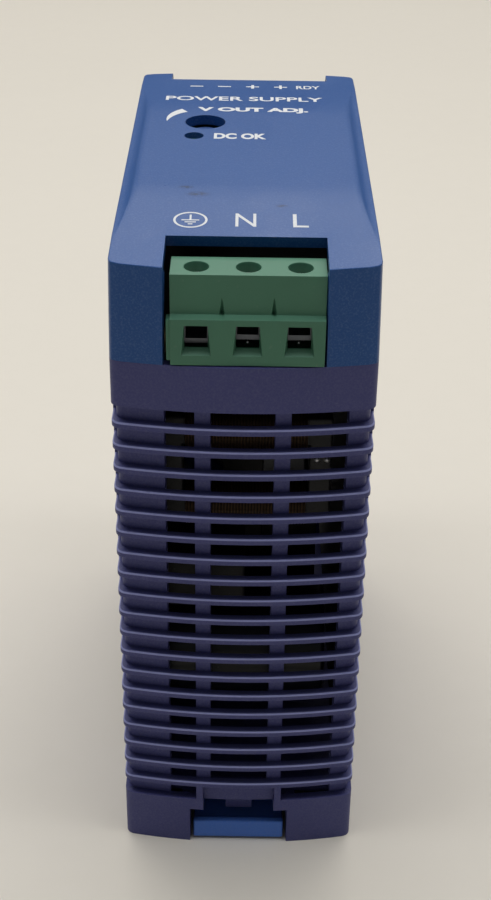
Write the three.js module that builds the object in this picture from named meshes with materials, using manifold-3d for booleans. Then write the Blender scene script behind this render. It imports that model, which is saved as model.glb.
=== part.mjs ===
// DIN rail power supply, standing on its rail side.
// Millimetres. X runs along the rail, -Y is the mains input end, +Y the output end, +Z points out of the rail
// towards the front panel. The origin is the centre of the footprint.
import * as THREE from "three";
import { mergeVertices } from "three/addons/utils/BufferGeometryUtils.js";
import Module from "manifold-3d";

const wasm = await Module();
wasm.setup();

// Driving dimensions: the envelope.
const width = 40.5;
const length = 90;
const height = 115;
const endSag = 2.1;
const cornerRadius = 1.5;
const seamZ = 97.5;
const wall = 1.6;
const gap = 0.3;

// Louvres on both ends of the case.
const finCount = 19;
const finPitch = 4.03;
const finHeight = 1.1;
const firstFinTop = 14.25;
const footTop = 10.2;
const louvreTop = 89.7;
const finDepth = 1.4;
const sideGrooveDepth = 0.65;
const louvreSideStart = 38.5;
const slotColumns = [[-12.1, -7.5], [-5.0, 4.9], [7.4, 16.2]];

// Rail channel and clip.
const railSeatZ = 5.6;
const railHalfWidth = 17.9;
const railFlangeBottom = 4.0;
const railReliefDepth = 0.1;
const railReliefs = [[-railHalfWidth, -15.0], [14.6, railHalfWidth]];
const bayHalfWidth = 8.7;
const notchHalfWidth = 6.25;
const clipHalfWidth = 8.05;
const clipBottom = 0.4;
const clipTop = 4.3;
const clipFrontY = -44.1;
const clipNoseY = -15.4;
const springRadius = 1.8;
const springWire = 0.45;
const springTurns = 5;
const springFixedY = -39.4;
const springLugY = -31.4;
const springZ = 6.7;

// Front cover.
const coverWall = 1.7;
const coverTopHalfWidth = 19.9;
const endDrop = 1.65;
const slopeStart = 20;
const slopeBlend = 4;
const shoulderX = 17.7;
const shoulderZ = 114.05;
const inputOpening = { x: [-11.9, 12.1], backY: -34.5 };
const outputOpening = { x: [-14.5, 14.8], backY: 39.5 };

// Controls in the front panel.
const trimmerAt = [-7.35, 12.4];
const trimmerHoleRadius = 3.5;
const lampAt = [-9.1, 5.5];
const lampHoleRadius = 1.65;

// Boards.
const terminalBoardZ = [95.8, 97.4];
const mainBoardX = [-15.3, -13.7];
const componentX = mainBoardX[1] + gap;

// Terminal blocks: pole pitch, centre and the levels of the clamps.
const inputPoles = { count: 3, pitch: 7.62, centre: 0.5 };
const outputPoles = { count: 5, pitch: 5.08, centre: 0.8 };
const terminalBottom = 97.7;

const finish = (color, roughness, metalness = 0) => {
  return new THREE.MeshStandardMaterial({ color, roughness, metalness });
};
const caseFinish = finish(0x3f3f5c, 0.62);
const coverFinish = finish(0x2f5590, 0.5);
const clipFinish = finish(0x2d6099, 0.5);
const terminalFinish = finish(0x3f7a5a, 0.5);
const steelFinish = finish(0xb9bcc0, 0.35, 0.9);
const clampFinish = finish(0x8f9296, 0.4, 0.9);
const boardFinish = finish(0x8a6a3a, 0.6);
const blackFinish = finish(0x17181a, 0.6);
const aluminiumFinish = finish(0xaeb2b6, 0.4, 0.9);
const copperFinish = finish(0x9a5a2c, 0.4, 0.6);
const tapeFinish = finish(0xc9a53a, 0.5);
const blueFinish = finish(0x2a4f9a, 0.45);
const glassFinish = finish(0xd8dde0, 0.15);
const lampFinish = finish(0x1f4a35, 0.25);
const sleeveFinish = finish(0x20242c, 0.4);

const group = new THREE.Group();

// A closed geometry as a solid for joining and cutting.
function solid(geometry) {
  const bare = geometry.index ? geometry.toNonIndexed() : geometry.clone();
  bare.deleteAttribute("normal");
  bare.deleteAttribute("uv");
  const merged = mergeVertices(bare, 1e-4);
  return new wasm.Manifold(new wasm.Mesh({
    numProp: 3,
    vertProperties: merged.attributes.position.array,
    triVerts: new Uint32Array(merged.index.array),
  }));
}

// Adds a finished solid to the group as a named mesh.
function addPiece(name, shape, material) {
  const made = shape.getMesh();
  const geometry = new THREE.BufferGeometry();
  geometry.setAttribute("position", new THREE.BufferAttribute(made.vertProperties, 3));
  geometry.setIndex(new THREE.BufferAttribute(made.triVerts, 1));
  geometry.computeVertexNormals();
  const mesh = new THREE.Mesh(geometry, material);
  mesh.name = name;
  group.add(mesh);
}

function block(x, y, z) {
  const geometry = new THREE.BoxGeometry(x[1] - x[0], y[1] - y[0], z[1] - z[0]);
  geometry.translate((x[0] + x[1]) / 2, (y[0] + y[1]) / 2, (z[0] + z[1]) / 2);
  return solid(geometry);
}

// A round bar along one axis. centre gives the other two coordinates in X, Y, Z order.
function rod(axis, centre, span, radius, sides = 16) {
  const geometry = new THREE.CylinderGeometry(radius, radius, span[1] - span[0], sides);
  const middle = (span[0] + span[1]) / 2;
  if (axis === "x") geometry.rotateZ(Math.PI / 2).translate(middle, centre[0], centre[1]);
  if (axis === "y") geometry.translate(centre[0], middle, centre[1]);
  if (axis === "z") geometry.rotateX(Math.PI / 2).translate(centre[0], centre[1], middle);
  return solid(geometry);
}

function shapeOf(points) {
  return new THREE.Shape(points.map(([u, v]) => new THREE.Vector2(u, v)));
}

function extruded(shape, depth, curveSegments = 3) {
  return new THREE.ExtrudeGeometry(shape, { depth, bevelEnabled: false, curveSegments });
}

// A plan outline raised from one level to another.
function raised(shape, z) {
  return solid(extruded(shape, z[1] - z[0]).translate(0, 0, z[0]));
}

// An outline in Y and Z, swept along X.
function acrossX(shape, x) {
  const turn = new THREE.Matrix4().makeBasis(
    new THREE.Vector3(0, 1, 0), new THREE.Vector3(0, 0, 1), new THREE.Vector3(1, 0, 0));
  return solid(extruded(shape, x[1] - x[0], 5).applyMatrix4(turn).translate(x[0], 0, 0));
}

// An outline in X and Z, swept along Y.
function alongY(shape, y) {
  return solid(extruded(shape, y[1] - y[0]).rotateX(Math.PI / 2).translate(0, y[1], 0));
}

const ordered = (a, b) => [Math.min(a, b), Math.max(a, b)];

function union(shapes) {
  return shapes.reduce((sum, shape) => sum.add(shape));
}

// The plan of the housing: straight sides, and ends that bow out on one arc, drawn inset by a wall.
function plan(sideInset, endInset) {
  const half = width / 2 - sideInset;
  const radius = (width * width / 4 + endSag * endSag) / (2 * endSag) - endInset;
  const centreY = length / 2 - endInset - radius;
  const arcX = half - cornerRadius;
  const sweep = Math.asin(arcX / radius);
  const arcY = centreY + radius * Math.cos(sweep);
  const tangentY = arcY - cornerRadius * Math.tan(sweep);
  const sideY = tangentY - cornerRadius;
  const shape = new THREE.Shape();
  shape.moveTo(half, -sideY);
  shape.lineTo(half, sideY);
  shape.quadraticCurveTo(half, tangentY, arcX, arcY);
  shape.absarc(0, centreY, radius, Math.PI / 2 - sweep, Math.PI / 2 + sweep, false);
  shape.quadraticCurveTo(-half, tangentY, -half, sideY);
  shape.lineTo(-half, -sideY);
  shape.quadraticCurveTo(-half, -tangentY, -arcX, -arcY);
  shape.absarc(0, -centreY, radius, -Math.PI / 2 - sweep, -Math.PI / 2 + sweep, false);
  shape.quadraticCurveTo(half, -tangentY, half, -sideY);
  return shape;
}

const wide = [-width, width];
const ends = [[-length, -louvreSideStart], [louvreSideStart, length]];
const finTop = (index) => firstFinTop + index * finPitch;

// Case: an open-topped box with crossed ribs on both ends, wide fins outside and bars inside.
function makeCase() {
  const outer = raised(plan(0, 0), [0, seamZ]);
  const grooveFloor = raised(plan(sideGrooveDepth, finDepth), [-1, seamZ + 1]);

  // The gaps between fins are cut down to the groove floor, round the corners to the side panels.
  const gapLevels = [];
  for (let index = 0; index <= finCount; index += 1) {
    const low = index === 0 ? footTop : finTop(index - 1);
    const high = index === finCount ? louvreTop : finTop(index) - finHeight;
    gapLevels.push([low, high]);
  }
  const gaps = union(gapLevels.flatMap((level) => ends.map((end) => block(wide, end, level))));
  let shell = outer.subtract(gaps.subtract(grooveFloor));

  // Two ribs stand proud beside the notch over the clip.
  const ribs = [-1, 1].map((side) => {
    const x = ordered(side * 6.3, side * 7.5);
    return block(x, ends[0], [footTop - gap, gapLevels[0][1] + gap]);
  });
  shell = shell.add(union(ribs).intersect(outer));

  // The inside, with a raised floor over the clip bay.
  const bayRoof = 10.7;
  const bayInnerEnd = -16.3;
  const innerFloor = railSeatZ + 2;
  const inside = raised(plan(wall, finDepth * 2), [innerFloor, seamZ + 1])
    .subtract(block(wide, [-length, bayInnerEnd], [0, bayRoof]));
  shell = shell.subtract(inside);

  // Upright channels from the inside open the gaps into slots.
  const channels = ends.flatMap((end, endIndex) => slotColumns.map((column, columnIndex) => {
    const overClip = endIndex === 0 && columnIndex === 1;
    const low = overClip ? finTop(0) : (endIndex === 0 ? bayRoof : footTop);
    return block(column, end.map((y) => Math.sign(y) * Math.max(Math.abs(y), 41)), [low, louvreTop]);
  }));
  shell = shell.subtract(union(channels).intersect(grooveFloor));

  // Guides for the main board on both end walls.
  const guideX = [[-17.2, mainBoardX[0] - gap], [mainBoardX[1] + gap, -12.2]];
  const guides = [-1, 1].flatMap((end) => guideX.map((x) => {
    return block(x, ordered(end * 39.4, end * 42.8), [20, 90]);
  }));
  shell = shell.add(union(guides));

  // The clip bay, its notch in the end face, and the grooves that hold the clip.
  const bay = union([
    block([-bayHalfWidth, bayHalfWidth], [-length, -railHalfWidth], [-1, 7.7]),
    block([-notchHalfWidth, notchHalfWidth], [-length, -20], [7.6, 9.1]),
    block([-9.9, 9.9], [-42.8, -railHalfWidth], [1.6, 3.8]),
  ]);
  const notch = block([-notchHalfWidth, notchHalfWidth], [-length, -30], [9, footTop + gap])
    .subtract(grooveFloor);
  shell = shell.subtract(bay).subtract(notch);

  // The stop that the spring of the clip leans on.
  shell = shell.add(block([-2.4, 2.4], [springFixedY - 1.6, springFixedY], [4.7, bayRoof - gap]));

  // The rail channel, with two hooks that reach behind the upper edge of the rail.
  const channel = block(wide, [-railHalfWidth, railHalfWidth], [-1, railSeatZ]);
  const reliefs = union(railReliefs.map((y) => block(wide, y, [-1, railSeatZ + railReliefDepth])));
  const flangeSlot = block(wide, [railHalfWidth - 1, railHalfWidth + 0.4], [railFlangeBottom, railSeatZ]);
  const hookOutline = shapeOf([[14.9, 2.2], [16.4, 0.8], [18.4, 0.8], [18.4, 4.0], [14.9, 4.0]]);
  const hooks = union([acrossX(hookOutline, [-17.4, -5.4]), acrossX(hookOutline, [5.4, 17.4])]);
  shell = shell.subtract(channel).subtract(reliefs).subtract(flangeSlot).add(hooks);

  // Pockets that core out the feet from below.
  const pocketPlan = raised(plan(wall, finDepth * 2), [-1, 9]);
  const pockets = union([
    block([11.5, 19], [-43, -20], [-1, 8.8]),
    block([-19, -11.5], [-43, -20], [-1, 8.8]),
    block([7, 19], [20.4, 43], [-1, 6]),
    block([-5.4, 5.4], [20.4, 43], [-1, 6]),
    block([-19, -7], [20.4, 43], [-1, 6]),
  ]).intersect(pocketPlan);
  return shell.subtract(pockets);
}

// The side outline of the cover: level in the middle, then a straight fall to each end, inset by a wall.
function coverSide(inset, bottom) {
  const fall = endDrop / (length / 2 - slopeStart);
  const top = height - inset;
  const zAt = (y) => top - fall * (Math.abs(y) - slopeStart);
  const reach = length / 2 + 1;
  const low = slopeStart + slopeBlend;
  const level = slopeStart - slopeBlend;
  const shape = new THREE.Shape();
  shape.moveTo(-reach, bottom);
  shape.lineTo(reach, bottom);
  shape.lineTo(reach, zAt(reach));
  shape.lineTo(low, zAt(low));
  shape.quadraticCurveTo(slopeStart, top, level, top);
  shape.lineTo(-level, top);
  shape.quadraticCurveTo(-slopeStart, top, -low, zAt(low));
  shape.lineTo(-reach, zAt(reach));
  return shape;
}

// Narrows a raised plan towards the top of the cover.
function drafted(shape, z, halfAtSeam, halfAtTop) {
  const geometry = extruded(shape, z[1] - z[0]).translate(0, 0, z[0]);
  const spots = geometry.attributes.position;
  const perMillimetre = (halfAtTop / halfAtSeam - 1) / (height - seamZ);
  for (let index = 0; index < spots.count; index += 1) {
    const narrowing = 1 + perMillimetre * (spots.getZ(index) - seamZ);
    spots.setX(index, spots.getX(index) * narrowing);
  }
  return solid(geometry);
}

// Front cover: a shell with open terminal bays at both ends and two holes in its front panel.
function makeCover() {
  const half = width / 2;
  const section = shapeOf([
    [-half, seamZ], [half, seamZ], [half, shoulderZ - 0.3], [coverTopHalfWidth, shoulderZ],
    [shoulderX, height], [shoulderX, height + 1], [-shoulderX, height + 1], [-shoulderX, height],
    [-coverTopHalfWidth, shoulderZ], [-half, shoulderZ - 0.3],
  ]);
  const outer = drafted(plan(0, 0), [seamZ, height + 1], half, coverTopHalfWidth)
    .intersect(acrossX(coverSide(0, seamZ), wide))
    .intersect(alongY(section, [-length, length]));
  const innerHalf = half - coverWall;
  const innerTopHalf = coverTopHalfWidth - coverWall;
  const inner = drafted(plan(coverWall, coverWall), [seamZ - 1, height], innerHalf, innerTopHalf)
    .intersect(acrossX(coverSide(coverWall, seamZ - 1), wide));
  let shell = outer.subtract(inner);

  // The terminal bays, open at the top and at the end.
  const inputBay = block(inputOpening.x, [-length, inputOpening.backY], [0, height + 1]);
  const outputBay = block(outputOpening.x, [outputOpening.backY, length], [0, height + 1]);
  shell = shell.subtract(inputBay).subtract(outputBay);

  // Holes for the trimmer and the lamp.
  const holes = [
    rod("z", trimmerAt, [height - 4, height + 1], trimmerHoleRadius, 24),
    rod("z", lampAt, [height - 4, height + 1], lampHoleRadius, 16),
  ];
  shell = shell.subtract(union(holes));

  // Lips along both long sides that locate the cover inside the case.
  const lips = [-1, 1].map((side) => {
    const outline = shapeOf([
      [17.1, seamZ - 2.2], [18.3, seamZ - 2.2], [18.3, seamZ + 0.1], [18.9, seamZ + 0.6],
      [18.9, seamZ + 1.8], [17.1, seamZ + 0.6],
    ].map(([x, z]) => [side * x, z]));
    return alongY(outline, [-33, 35]);
  });
  return shell.add(union(lips));
}

// Rail clip: a slider with a screwdriver tab outside and a bevelled nose under the lower edge of the rail.
function makeClip() {
  const side = shapeOf([
    [clipFrontY, clipBottom], [clipNoseY - 3, clipBottom], [clipNoseY, clipTop - 1.4],
    [clipNoseY, clipTop], [clipFrontY, clipTop],
  ]);
  const body = acrossX(side, [-clipHalfWidth, clipHalfWidth]);
  const tongues = block([-9.6, 9.6], [-36, -22], [2, 3.5]);
  const lug = block([-2.4, 2.4], [springLugY, springLugY + 1.8], [clipTop - 0.5, 8.8]);
  const window = block([-4, 4], [-27, -20], [0, clipTop + 1]);
  const grip = block([-5.5, 5.5], [clipFrontY + 1.4, clipFrontY + 2.8], [clipTop - 1.2, clipTop + 1]);
  return union([body, tongues, lug]).subtract(union([window, grip]));
}

// A coil of round wire with its axis along Y.
class CoilCurve extends THREE.Curve {
  constructor(radius, turns, from, to) {
    super();
    Object.assign(this, { radius, turns, from, to });
  }

  getPoint(t, target = new THREE.Vector3()) {
    const angle = t * this.turns * 2 * Math.PI;
    const y = this.from + (this.to - this.from) * t;
    return target.set(this.radius * Math.cos(angle), y, springZ + this.radius * Math.sin(angle));
  }
}

function makeSpring() {
  const from = springFixedY + springWire / 2 + gap;
  const to = springLugY - springWire / 2 - gap;
  const path = new CoilCurve(springRadius - springWire / 2, springTurns, from, to);
  const wire = new THREE.Shape().absarc(0, 0, springWire / 2, 0, 2 * Math.PI, false);
  return solid(new THREE.ExtrudeGeometry(wire, {
    steps: springTurns * 10, extrudePath: path, curveSegments: 3, bevelEnabled: false,
  }));
}

const poleX = (poles, index) => poles.centre + (index - (poles.count - 1) / 2) * poles.pitch;

// Input terminals: one moulded block with a bevelled window, a clamp shaft and a screw hole for each pole.
const inputBlock = {
  frontY: -44.6, upperFrontY: -43.5, backY: -36.6, ledgeZ: 105.2, topZ: 111.9,
  windowHalf: 1.75, windowZ: [100.9, 104.2], sillZ: 99.3,
};
const inputClamp = {
  screwY: -40.6, outward: -1, width: 4.4, depth: 4.0, floor: 0.8, mouth: 4.3, plate: 1.0, openLow: 99.7,
  barZ: [103.9, 104.5], barHalf: 1.1, headRadius: 1.6, headZ: [109.1, 110.5],
  shaftRadius: 0.95, holeRadius: 1.9, lifted: [0.7, 1.4, 1.4],
};

// Output terminals: the same design on a finer pitch, facing the other way.
const outputBlock = {
  frontY: 44.6, upperFrontY: 43.7, backY: 36.4, ledgeZ: 104.3, topZ: 108.9,
  windowHalf: 1.5, windowZ: [99.9, 103.1],
};
const outputClamp = {
  screwY: 41.2, outward: 1, width: 3.4, depth: 3.4, floor: 0.6, mouth: 3.6, plate: 0.8, openLow: 99.1,
  barZ: [102.6, 103.1], barHalf: 0.9, headRadius: 1.3, headZ: [106.9, 108.0],
  shaftRadius: 0.75, holeRadius: 1.6, lifted: [0.6, 0.6, 0.6, 0.6, 0.6],
};

function makeTerminalHousing(poles, b, clamp) {
  const halfSpan = poles.count * poles.pitch / 2;
  const out = clamp.outward;
  const side = shapeOf([
    [b.frontY, terminalBottom], [b.backY, terminalBottom], [b.backY, b.topZ], [b.upperFrontY, b.topZ],
    [b.upperFrontY, b.ledgeZ + 0.4], [b.frontY, b.ledgeZ],
  ]);
  let housing = acrossX(side, [poles.centre - halfSpan, poles.centre + halfSpan]);
  const shaftTop = clamp.headZ[0] - 0.2;
  for (let index = 0; index < poles.count; index += 1) {
    const at = poleX(poles, index);
    const windowX = [at - b.windowHalf, at + b.windowHalf];
    const halfShaft = clamp.width / 2 + gap;
    const deepShaft = clamp.depth / 2 + gap;
    const tailX = [at - clamp.barHalf - gap, at + clamp.barHalf + gap];
    housing = housing.subtract(union([
      block(windowX, ordered(out * length, clamp.screwY), b.windowZ),
      block([at - halfShaft, at + halfShaft], [clamp.screwY - deepShaft, clamp.screwY + deepShaft],
        [terminalBottom - 1, shaftTop]),
      block(tailX, ordered(clamp.screwY, clamp.screwY - out * (deepShaft + 1.3)),
        [terminalBottom - 1, clamp.barZ[1] + gap]),
      rod("z", [at, clamp.screwY], [shaftTop - 1, b.topZ + 1], clamp.holeRadius, 20),
    ]));
    if (b.sillZ) {
      const sill = shapeOf([
        [b.frontY - 1, b.sillZ - 1], [b.frontY + 1.6, b.windowZ[0] + 0.1], [b.frontY - 1, b.windowZ[0] + 0.1],
      ]);
      housing = housing.subtract(acrossX(sill, windowX));
    }
  }
  for (let index = 0; index < poles.count - 1; index += 1) {
    const at = (poleX(poles, index) + poleX(poles, index + 1)) / 2;
    const groove = shapeOf([[at - 0.4, b.ledgeZ + 0.5], [at + 0.4, b.ledgeZ + 0.5], [at, b.ledgeZ + 3]]);
    housing = housing.subtract(alongY(groove, ordered(out * length, b.upperFrontY - out * 0.7)));
  }
  return housing;
}

// A slotted clamp screw that turns on its own axis in the housing.
function makeScrew(at, clamp) {
  const [low, high] = clamp.headZ;
  const tip = clamp.barZ[1] + 0.2;
  const head = rod("z", at, clamp.headZ, clamp.headRadius, 20);
  const shaft = rod("z", at, [tip, low + 0.1], clamp.shaftRadius, 12);
  const slotReach = clamp.headRadius + 1;
  const slotX = [at[0] - slotReach, at[0] + slotReach];
  const slot = block(slotX, [at[1] - 0.3, at[1] + 0.3], [high - 0.7, high + 1]);
  return head.add(shaft).subtract(slot);
}

// A clamp cage: a square ring, open towards the wire, that the screw lifts against the contact bar.
function makeCage(at, clamp, lifted) {
  const half = clamp.width / 2;
  const deep = clamp.depth / 2;
  const low = clamp.openLow + lifted;
  const mouthZ = [low + clamp.floor, low + clamp.floor + clamp.mouth];
  const top = mouthZ[1] + clamp.plate;
  const ring = block([at[0] - half, at[0] + half], [at[1] - deep, at[1] + deep], [low, top]);
  const mouth = block([at[0] - half + 0.6, at[0] + half - 0.6], [at[1] - deep - 1, at[1] + deep + 1], mouthZ);
  const thread = rod("z", at, [mouthZ[1] - 0.5, top + 1], clamp.shaftRadius + 0.15, 12);
  return ring.subtract(mouth).subtract(thread);
}

// A contact bar through the cage, with a solder tail behind the cage.
function makeContact(at, clamp) {
  const tailY = at[1] - clamp.outward * (clamp.depth / 2 + gap + 1.0);
  const barX = [at[0] - clamp.barHalf, at[0] + clamp.barHalf];
  const bar = block(barX, ordered(at[1] + clamp.outward * 1.6, tailY), clamp.barZ);
  const tail = block(barX, ordered(tailY, tailY + clamp.outward * 0.6), [terminalBottom, clamp.barZ[1]]);
  return bar.add(tail);
}

function addTerminals(prefix, poles, b, clamp) {
  addPiece(prefix + "_terminal_housing", makeTerminalHousing(poles, b, clamp), terminalFinish);
  for (let index = 0; index < poles.count; index += 1) {
    const at = [poleX(poles, index), clamp.screwY];
    const number = index + 1;
    addPiece(prefix + "_screw_" + number, makeScrew(at, clamp), steelFinish);
    addPiece(prefix + "_clamp_" + number, makeCage(at, clamp, clamp.lifted[index]), clampFinish);
    addPiece(prefix + "_contact_" + number, makeContact(at, clamp), clampFinish);
  }
}

addPiece("case_body", makeCase(), caseFinish);
addPiece("front_cover", makeCover(), coverFinish);
addPiece("rail_clip", makeClip(), clipFinish);
addPiece("rail_clip_spring", makeSpring(), steelFinish);
addTerminals("input", inputPoles, inputBlock, inputClamp);
addTerminals("output", outputPoles, outputBlock, outputClamp);

// Boards: an upright main board between the guides, and a board under the front panel that carries the
// terminals, the trimmer and the lamp.
addPiece("main_board", block(mainBoardX, [-40.4, 40.4], [12, 94.4]), boardFinish);
addPiece("terminal_board", block([-16.6, 16.6], [-40.2, 40.2], terminalBoardZ), boardFinish);
const linkZ = [86, terminalBoardZ[0] - gap];
addPiece("board_link", block([componentX, componentX + 2.5], [-12, 12], linkZ), blackFinish);

// Front panel controls.
const controlBase = terminalBoardZ[1] + gap;
const trimmerBodyTop = 102.7;
const centred = (centre, half) => [centre - half, centre + half];
const trimmerX = centred(trimmerAt[0], 4.3);
const trimmerY = centred(trimmerAt[1], 4.3);
addPiece("trimmer_body", block(trimmerX, trimmerY, [controlBase, trimmerBodyTop]), blueFinish);
const rotorSlot = block(trimmerX, centred(trimmerAt[1], 0.5), [112.2, height]);
const rotor = rod("z", trimmerAt, [trimmerBodyTop + gap, 113.3], 2.8, 24);
addPiece("trimmer_rotor", rotor.subtract(rotorSlot), blueFinish);
const lampTop = 114.4;
const lampSleeveTop = 109.4;
const lampRadius = 1.35;
addPiece("lamp_sleeve", rod("z", lampAt, [controlBase, lampSleeveTop], 2.1, 16), sleeveFinish);
const lampDome = new THREE.SphereGeometry(lampRadius, 16, 8).translate(...lampAt, lampTop - lampRadius);
const lampStem = rod("z", lampAt, [lampSleeveTop + gap, lampTop - lampRadius], lampRadius, 16);
addPiece("status_lamp", lampStem.add(solid(lampDome)), lampFinish);

// Components on the main board. Each stands off the board's face towards +X.
const standing = (reach) => [componentX, componentX + reach];

// A round component with its axis away from the board.
function can(at, reach, radius, sides = 20) {
  return rod("x", at, standing(reach), radius, sides);
}

// Mains side.
const chokeFrame = { x: [componentX, 14.2], y: [-37, -32], z: [65.3, 84.3] };
const chokeWindow = block([-9.6, 10.6], [-50, -20], [70.3, 79.3]);
const chokeCore = block(chokeFrame.x, chokeFrame.y, chokeFrame.z).subtract(chokeWindow);
addPiece("filter_choke_core", chokeCore, blackFinish);
[["lower", 67.8], ["upper", 81.8]].forEach(([name, z]) => {
  const coil = rod("x", [-34.5, z], [-9.2, 10.2], 4.3, 20);
  const leg = block([-12, 14], [chokeFrame.y[0] - gap, chokeFrame.y[1] + gap], [z - 2.8, z + 2.8]);
  addPiece("filter_choke_coil_" + name, coil.subtract(leg), copperFinish);
});
addPiece("fuse", rod("y", [componentX + 2.8, 89.6], [-38, -18], 2.6, 16), glassFinish);
addPiece("inrush_thermistor", rod("y", [componentX + 5.2, 79], [-27, -22.5], 5, 20), blackFinish);
addPiece("surge_varistor", rod("y", [componentX + 5.2, 66], [-27, -22.5], 5, 20), blueFinish);
addPiece("x_capacitor", block(standing(14), [-38, -20], [48, 58.5]), tapeFinish);
addPiece("bridge_rectifier", block(standing(17), [-19, -15.5], [62, 82]), blackFinish);
addPiece("bulk_capacitor", can([-27, 33.5], 28, 10, 24), blackFinish);

// Switching stage: the transformer between the two heatsinks.
addPiece("primary_heatsink", block(standing(27), [-11.5, -10], [18, 58]), aluminiumFinish);
addPiece("switch_transistor", block(standing(17), [-16.3, -11.8], [46.8, 57]), blackFinish);
const coreX = standing(25);
const coreY = [-6, 18];
const coreZ = [22, 54];
const windingRadius = 9.3;
const transformerAt = [(coreY[0] + coreY[1]) / 2, (coreZ[0] + coreZ[1]) / 2];
const coreWindow = block([coreX[0] + 5, coreX[1] - 5], [-20, 30], [coreZ[0] + 5, coreZ[1] - 5]);
const coreLeg = rod("x", transformerAt, [coreX[0] + 4, coreX[1] - 4], 5, 20);
addPiece("transformer_core", block(coreX, coreY, coreZ).subtract(coreWindow).add(coreLeg), blackFinish);
const windingSpan = [coreX[0] + 5 + gap, coreX[1] - 5 - gap];
const winding = rod("x", transformerAt, windingSpan, windingRadius, 24);
addPiece("transformer_winding", winding.subtract(rod("x", transformerAt, coreX, 5 + gap, 20)), tapeFinish);
addPiece("control_chip", block(standing(3.5), [-6, 3.5], [64, 70.5]), blackFinish);
addPiece("optocoupler", block(standing(3.5), [6, 12.5], [64, 69]), blackFinish);
addPiece("y_capacitor", rod("y", [componentX + 4.2, 78], [2, 5.5], 4, 20), blueFinish);

// Output side.
addPiece("secondary_heatsink", block(standing(27), [22, 23.5], [18, 58]), aluminiumFinish);
addPiece("output_rectifier", block(standing(17), [23.8, 28.3], [46.8, 57]), blackFinish);
[21, 32.5].forEach((z, index) => {
  addPiece("output_capacitor_" + (index + 1), can([33.5, z], 22, 5), sleeveFinish);
});
const toroid = can([30, 70], 9, 9, 24);
addPiece("output_choke", toroid.subtract(rod("x", [30, 70], wide, 3.5, 16)), copperFinish);

export default group;
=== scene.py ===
import math

import bmesh
import bpy
from bpy.props import FloatProperty, FloatVectorProperty, IntProperty, PointerProperty
from mathutils import Matrix, Vector


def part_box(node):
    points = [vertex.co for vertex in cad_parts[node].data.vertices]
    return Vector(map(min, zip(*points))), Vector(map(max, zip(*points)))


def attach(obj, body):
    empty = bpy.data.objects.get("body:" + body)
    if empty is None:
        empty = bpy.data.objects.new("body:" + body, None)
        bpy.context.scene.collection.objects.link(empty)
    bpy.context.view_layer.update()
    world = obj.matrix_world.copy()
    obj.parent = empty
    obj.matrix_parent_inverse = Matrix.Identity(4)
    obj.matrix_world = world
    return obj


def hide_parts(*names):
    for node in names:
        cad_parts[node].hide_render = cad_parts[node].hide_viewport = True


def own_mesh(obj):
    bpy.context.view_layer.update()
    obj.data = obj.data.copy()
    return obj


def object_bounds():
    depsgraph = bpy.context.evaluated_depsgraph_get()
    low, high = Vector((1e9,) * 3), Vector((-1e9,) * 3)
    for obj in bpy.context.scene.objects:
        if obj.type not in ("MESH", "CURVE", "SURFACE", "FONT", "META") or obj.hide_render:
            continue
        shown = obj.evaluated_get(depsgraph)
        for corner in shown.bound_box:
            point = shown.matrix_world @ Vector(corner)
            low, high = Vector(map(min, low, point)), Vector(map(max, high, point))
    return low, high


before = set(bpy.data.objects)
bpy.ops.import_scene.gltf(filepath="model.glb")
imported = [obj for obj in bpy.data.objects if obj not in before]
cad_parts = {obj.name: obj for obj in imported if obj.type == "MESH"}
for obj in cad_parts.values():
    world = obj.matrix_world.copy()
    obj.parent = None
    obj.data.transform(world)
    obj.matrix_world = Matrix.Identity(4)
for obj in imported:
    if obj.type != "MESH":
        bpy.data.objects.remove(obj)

bl_info = {
    "name": "Rail Power Supply",
    "version": (1, 0, 0),
    "blender": (4, 5, 0),
    "location": "3D View > Sidebar > Supply",
    "description": "Builds a narrow rail-mounted power supply around its packed frame",
    "category": "Object",
}

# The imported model's own box, before any piece is made.
CAD_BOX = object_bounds()

# Shapes are drawn in millimetres and shrunk to metres when a piece is finished.
MM = 0.001


def cad_box(node):
    """Lowest and highest corner of a CAD node, in millimetres."""
    low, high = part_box(node)
    return Vector(low) / MM, Vector(high) / MM


def round_node(node):
    """Lowest and highest corner, centre and radius of an upright round CAD node, in millimetres."""
    low, high = cad_box(node)
    return low, high, (low + high) / 2, (high.x - low.x) / 2


class Millimetres:
    """Reads the lengths of a property group in millimetres, and anything else as it is."""

    def __init__(self, group):
        self.group = group

    def __getattr__(self, name):
        value = getattr(self.group, name)
        unit = self.group.bl_rna.properties[name].unit
        return value / MM if unit == "LENGTH" else value


def length(name, description, millimetres):
    """A length property, given in millimetres."""
    return FloatProperty(name=name, description=description, default=millimetres * MM, unit="LENGTH", precision=5)


def colour(name, description, red, green, blue):
    """A colour property."""
    return FloatVectorProperty(
        name=name, description=description, default=(red, green, blue), subtype="COLOR", min=0, max=1)


# Sizes and colours ---------------------------------------------------------------------------------------------


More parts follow.
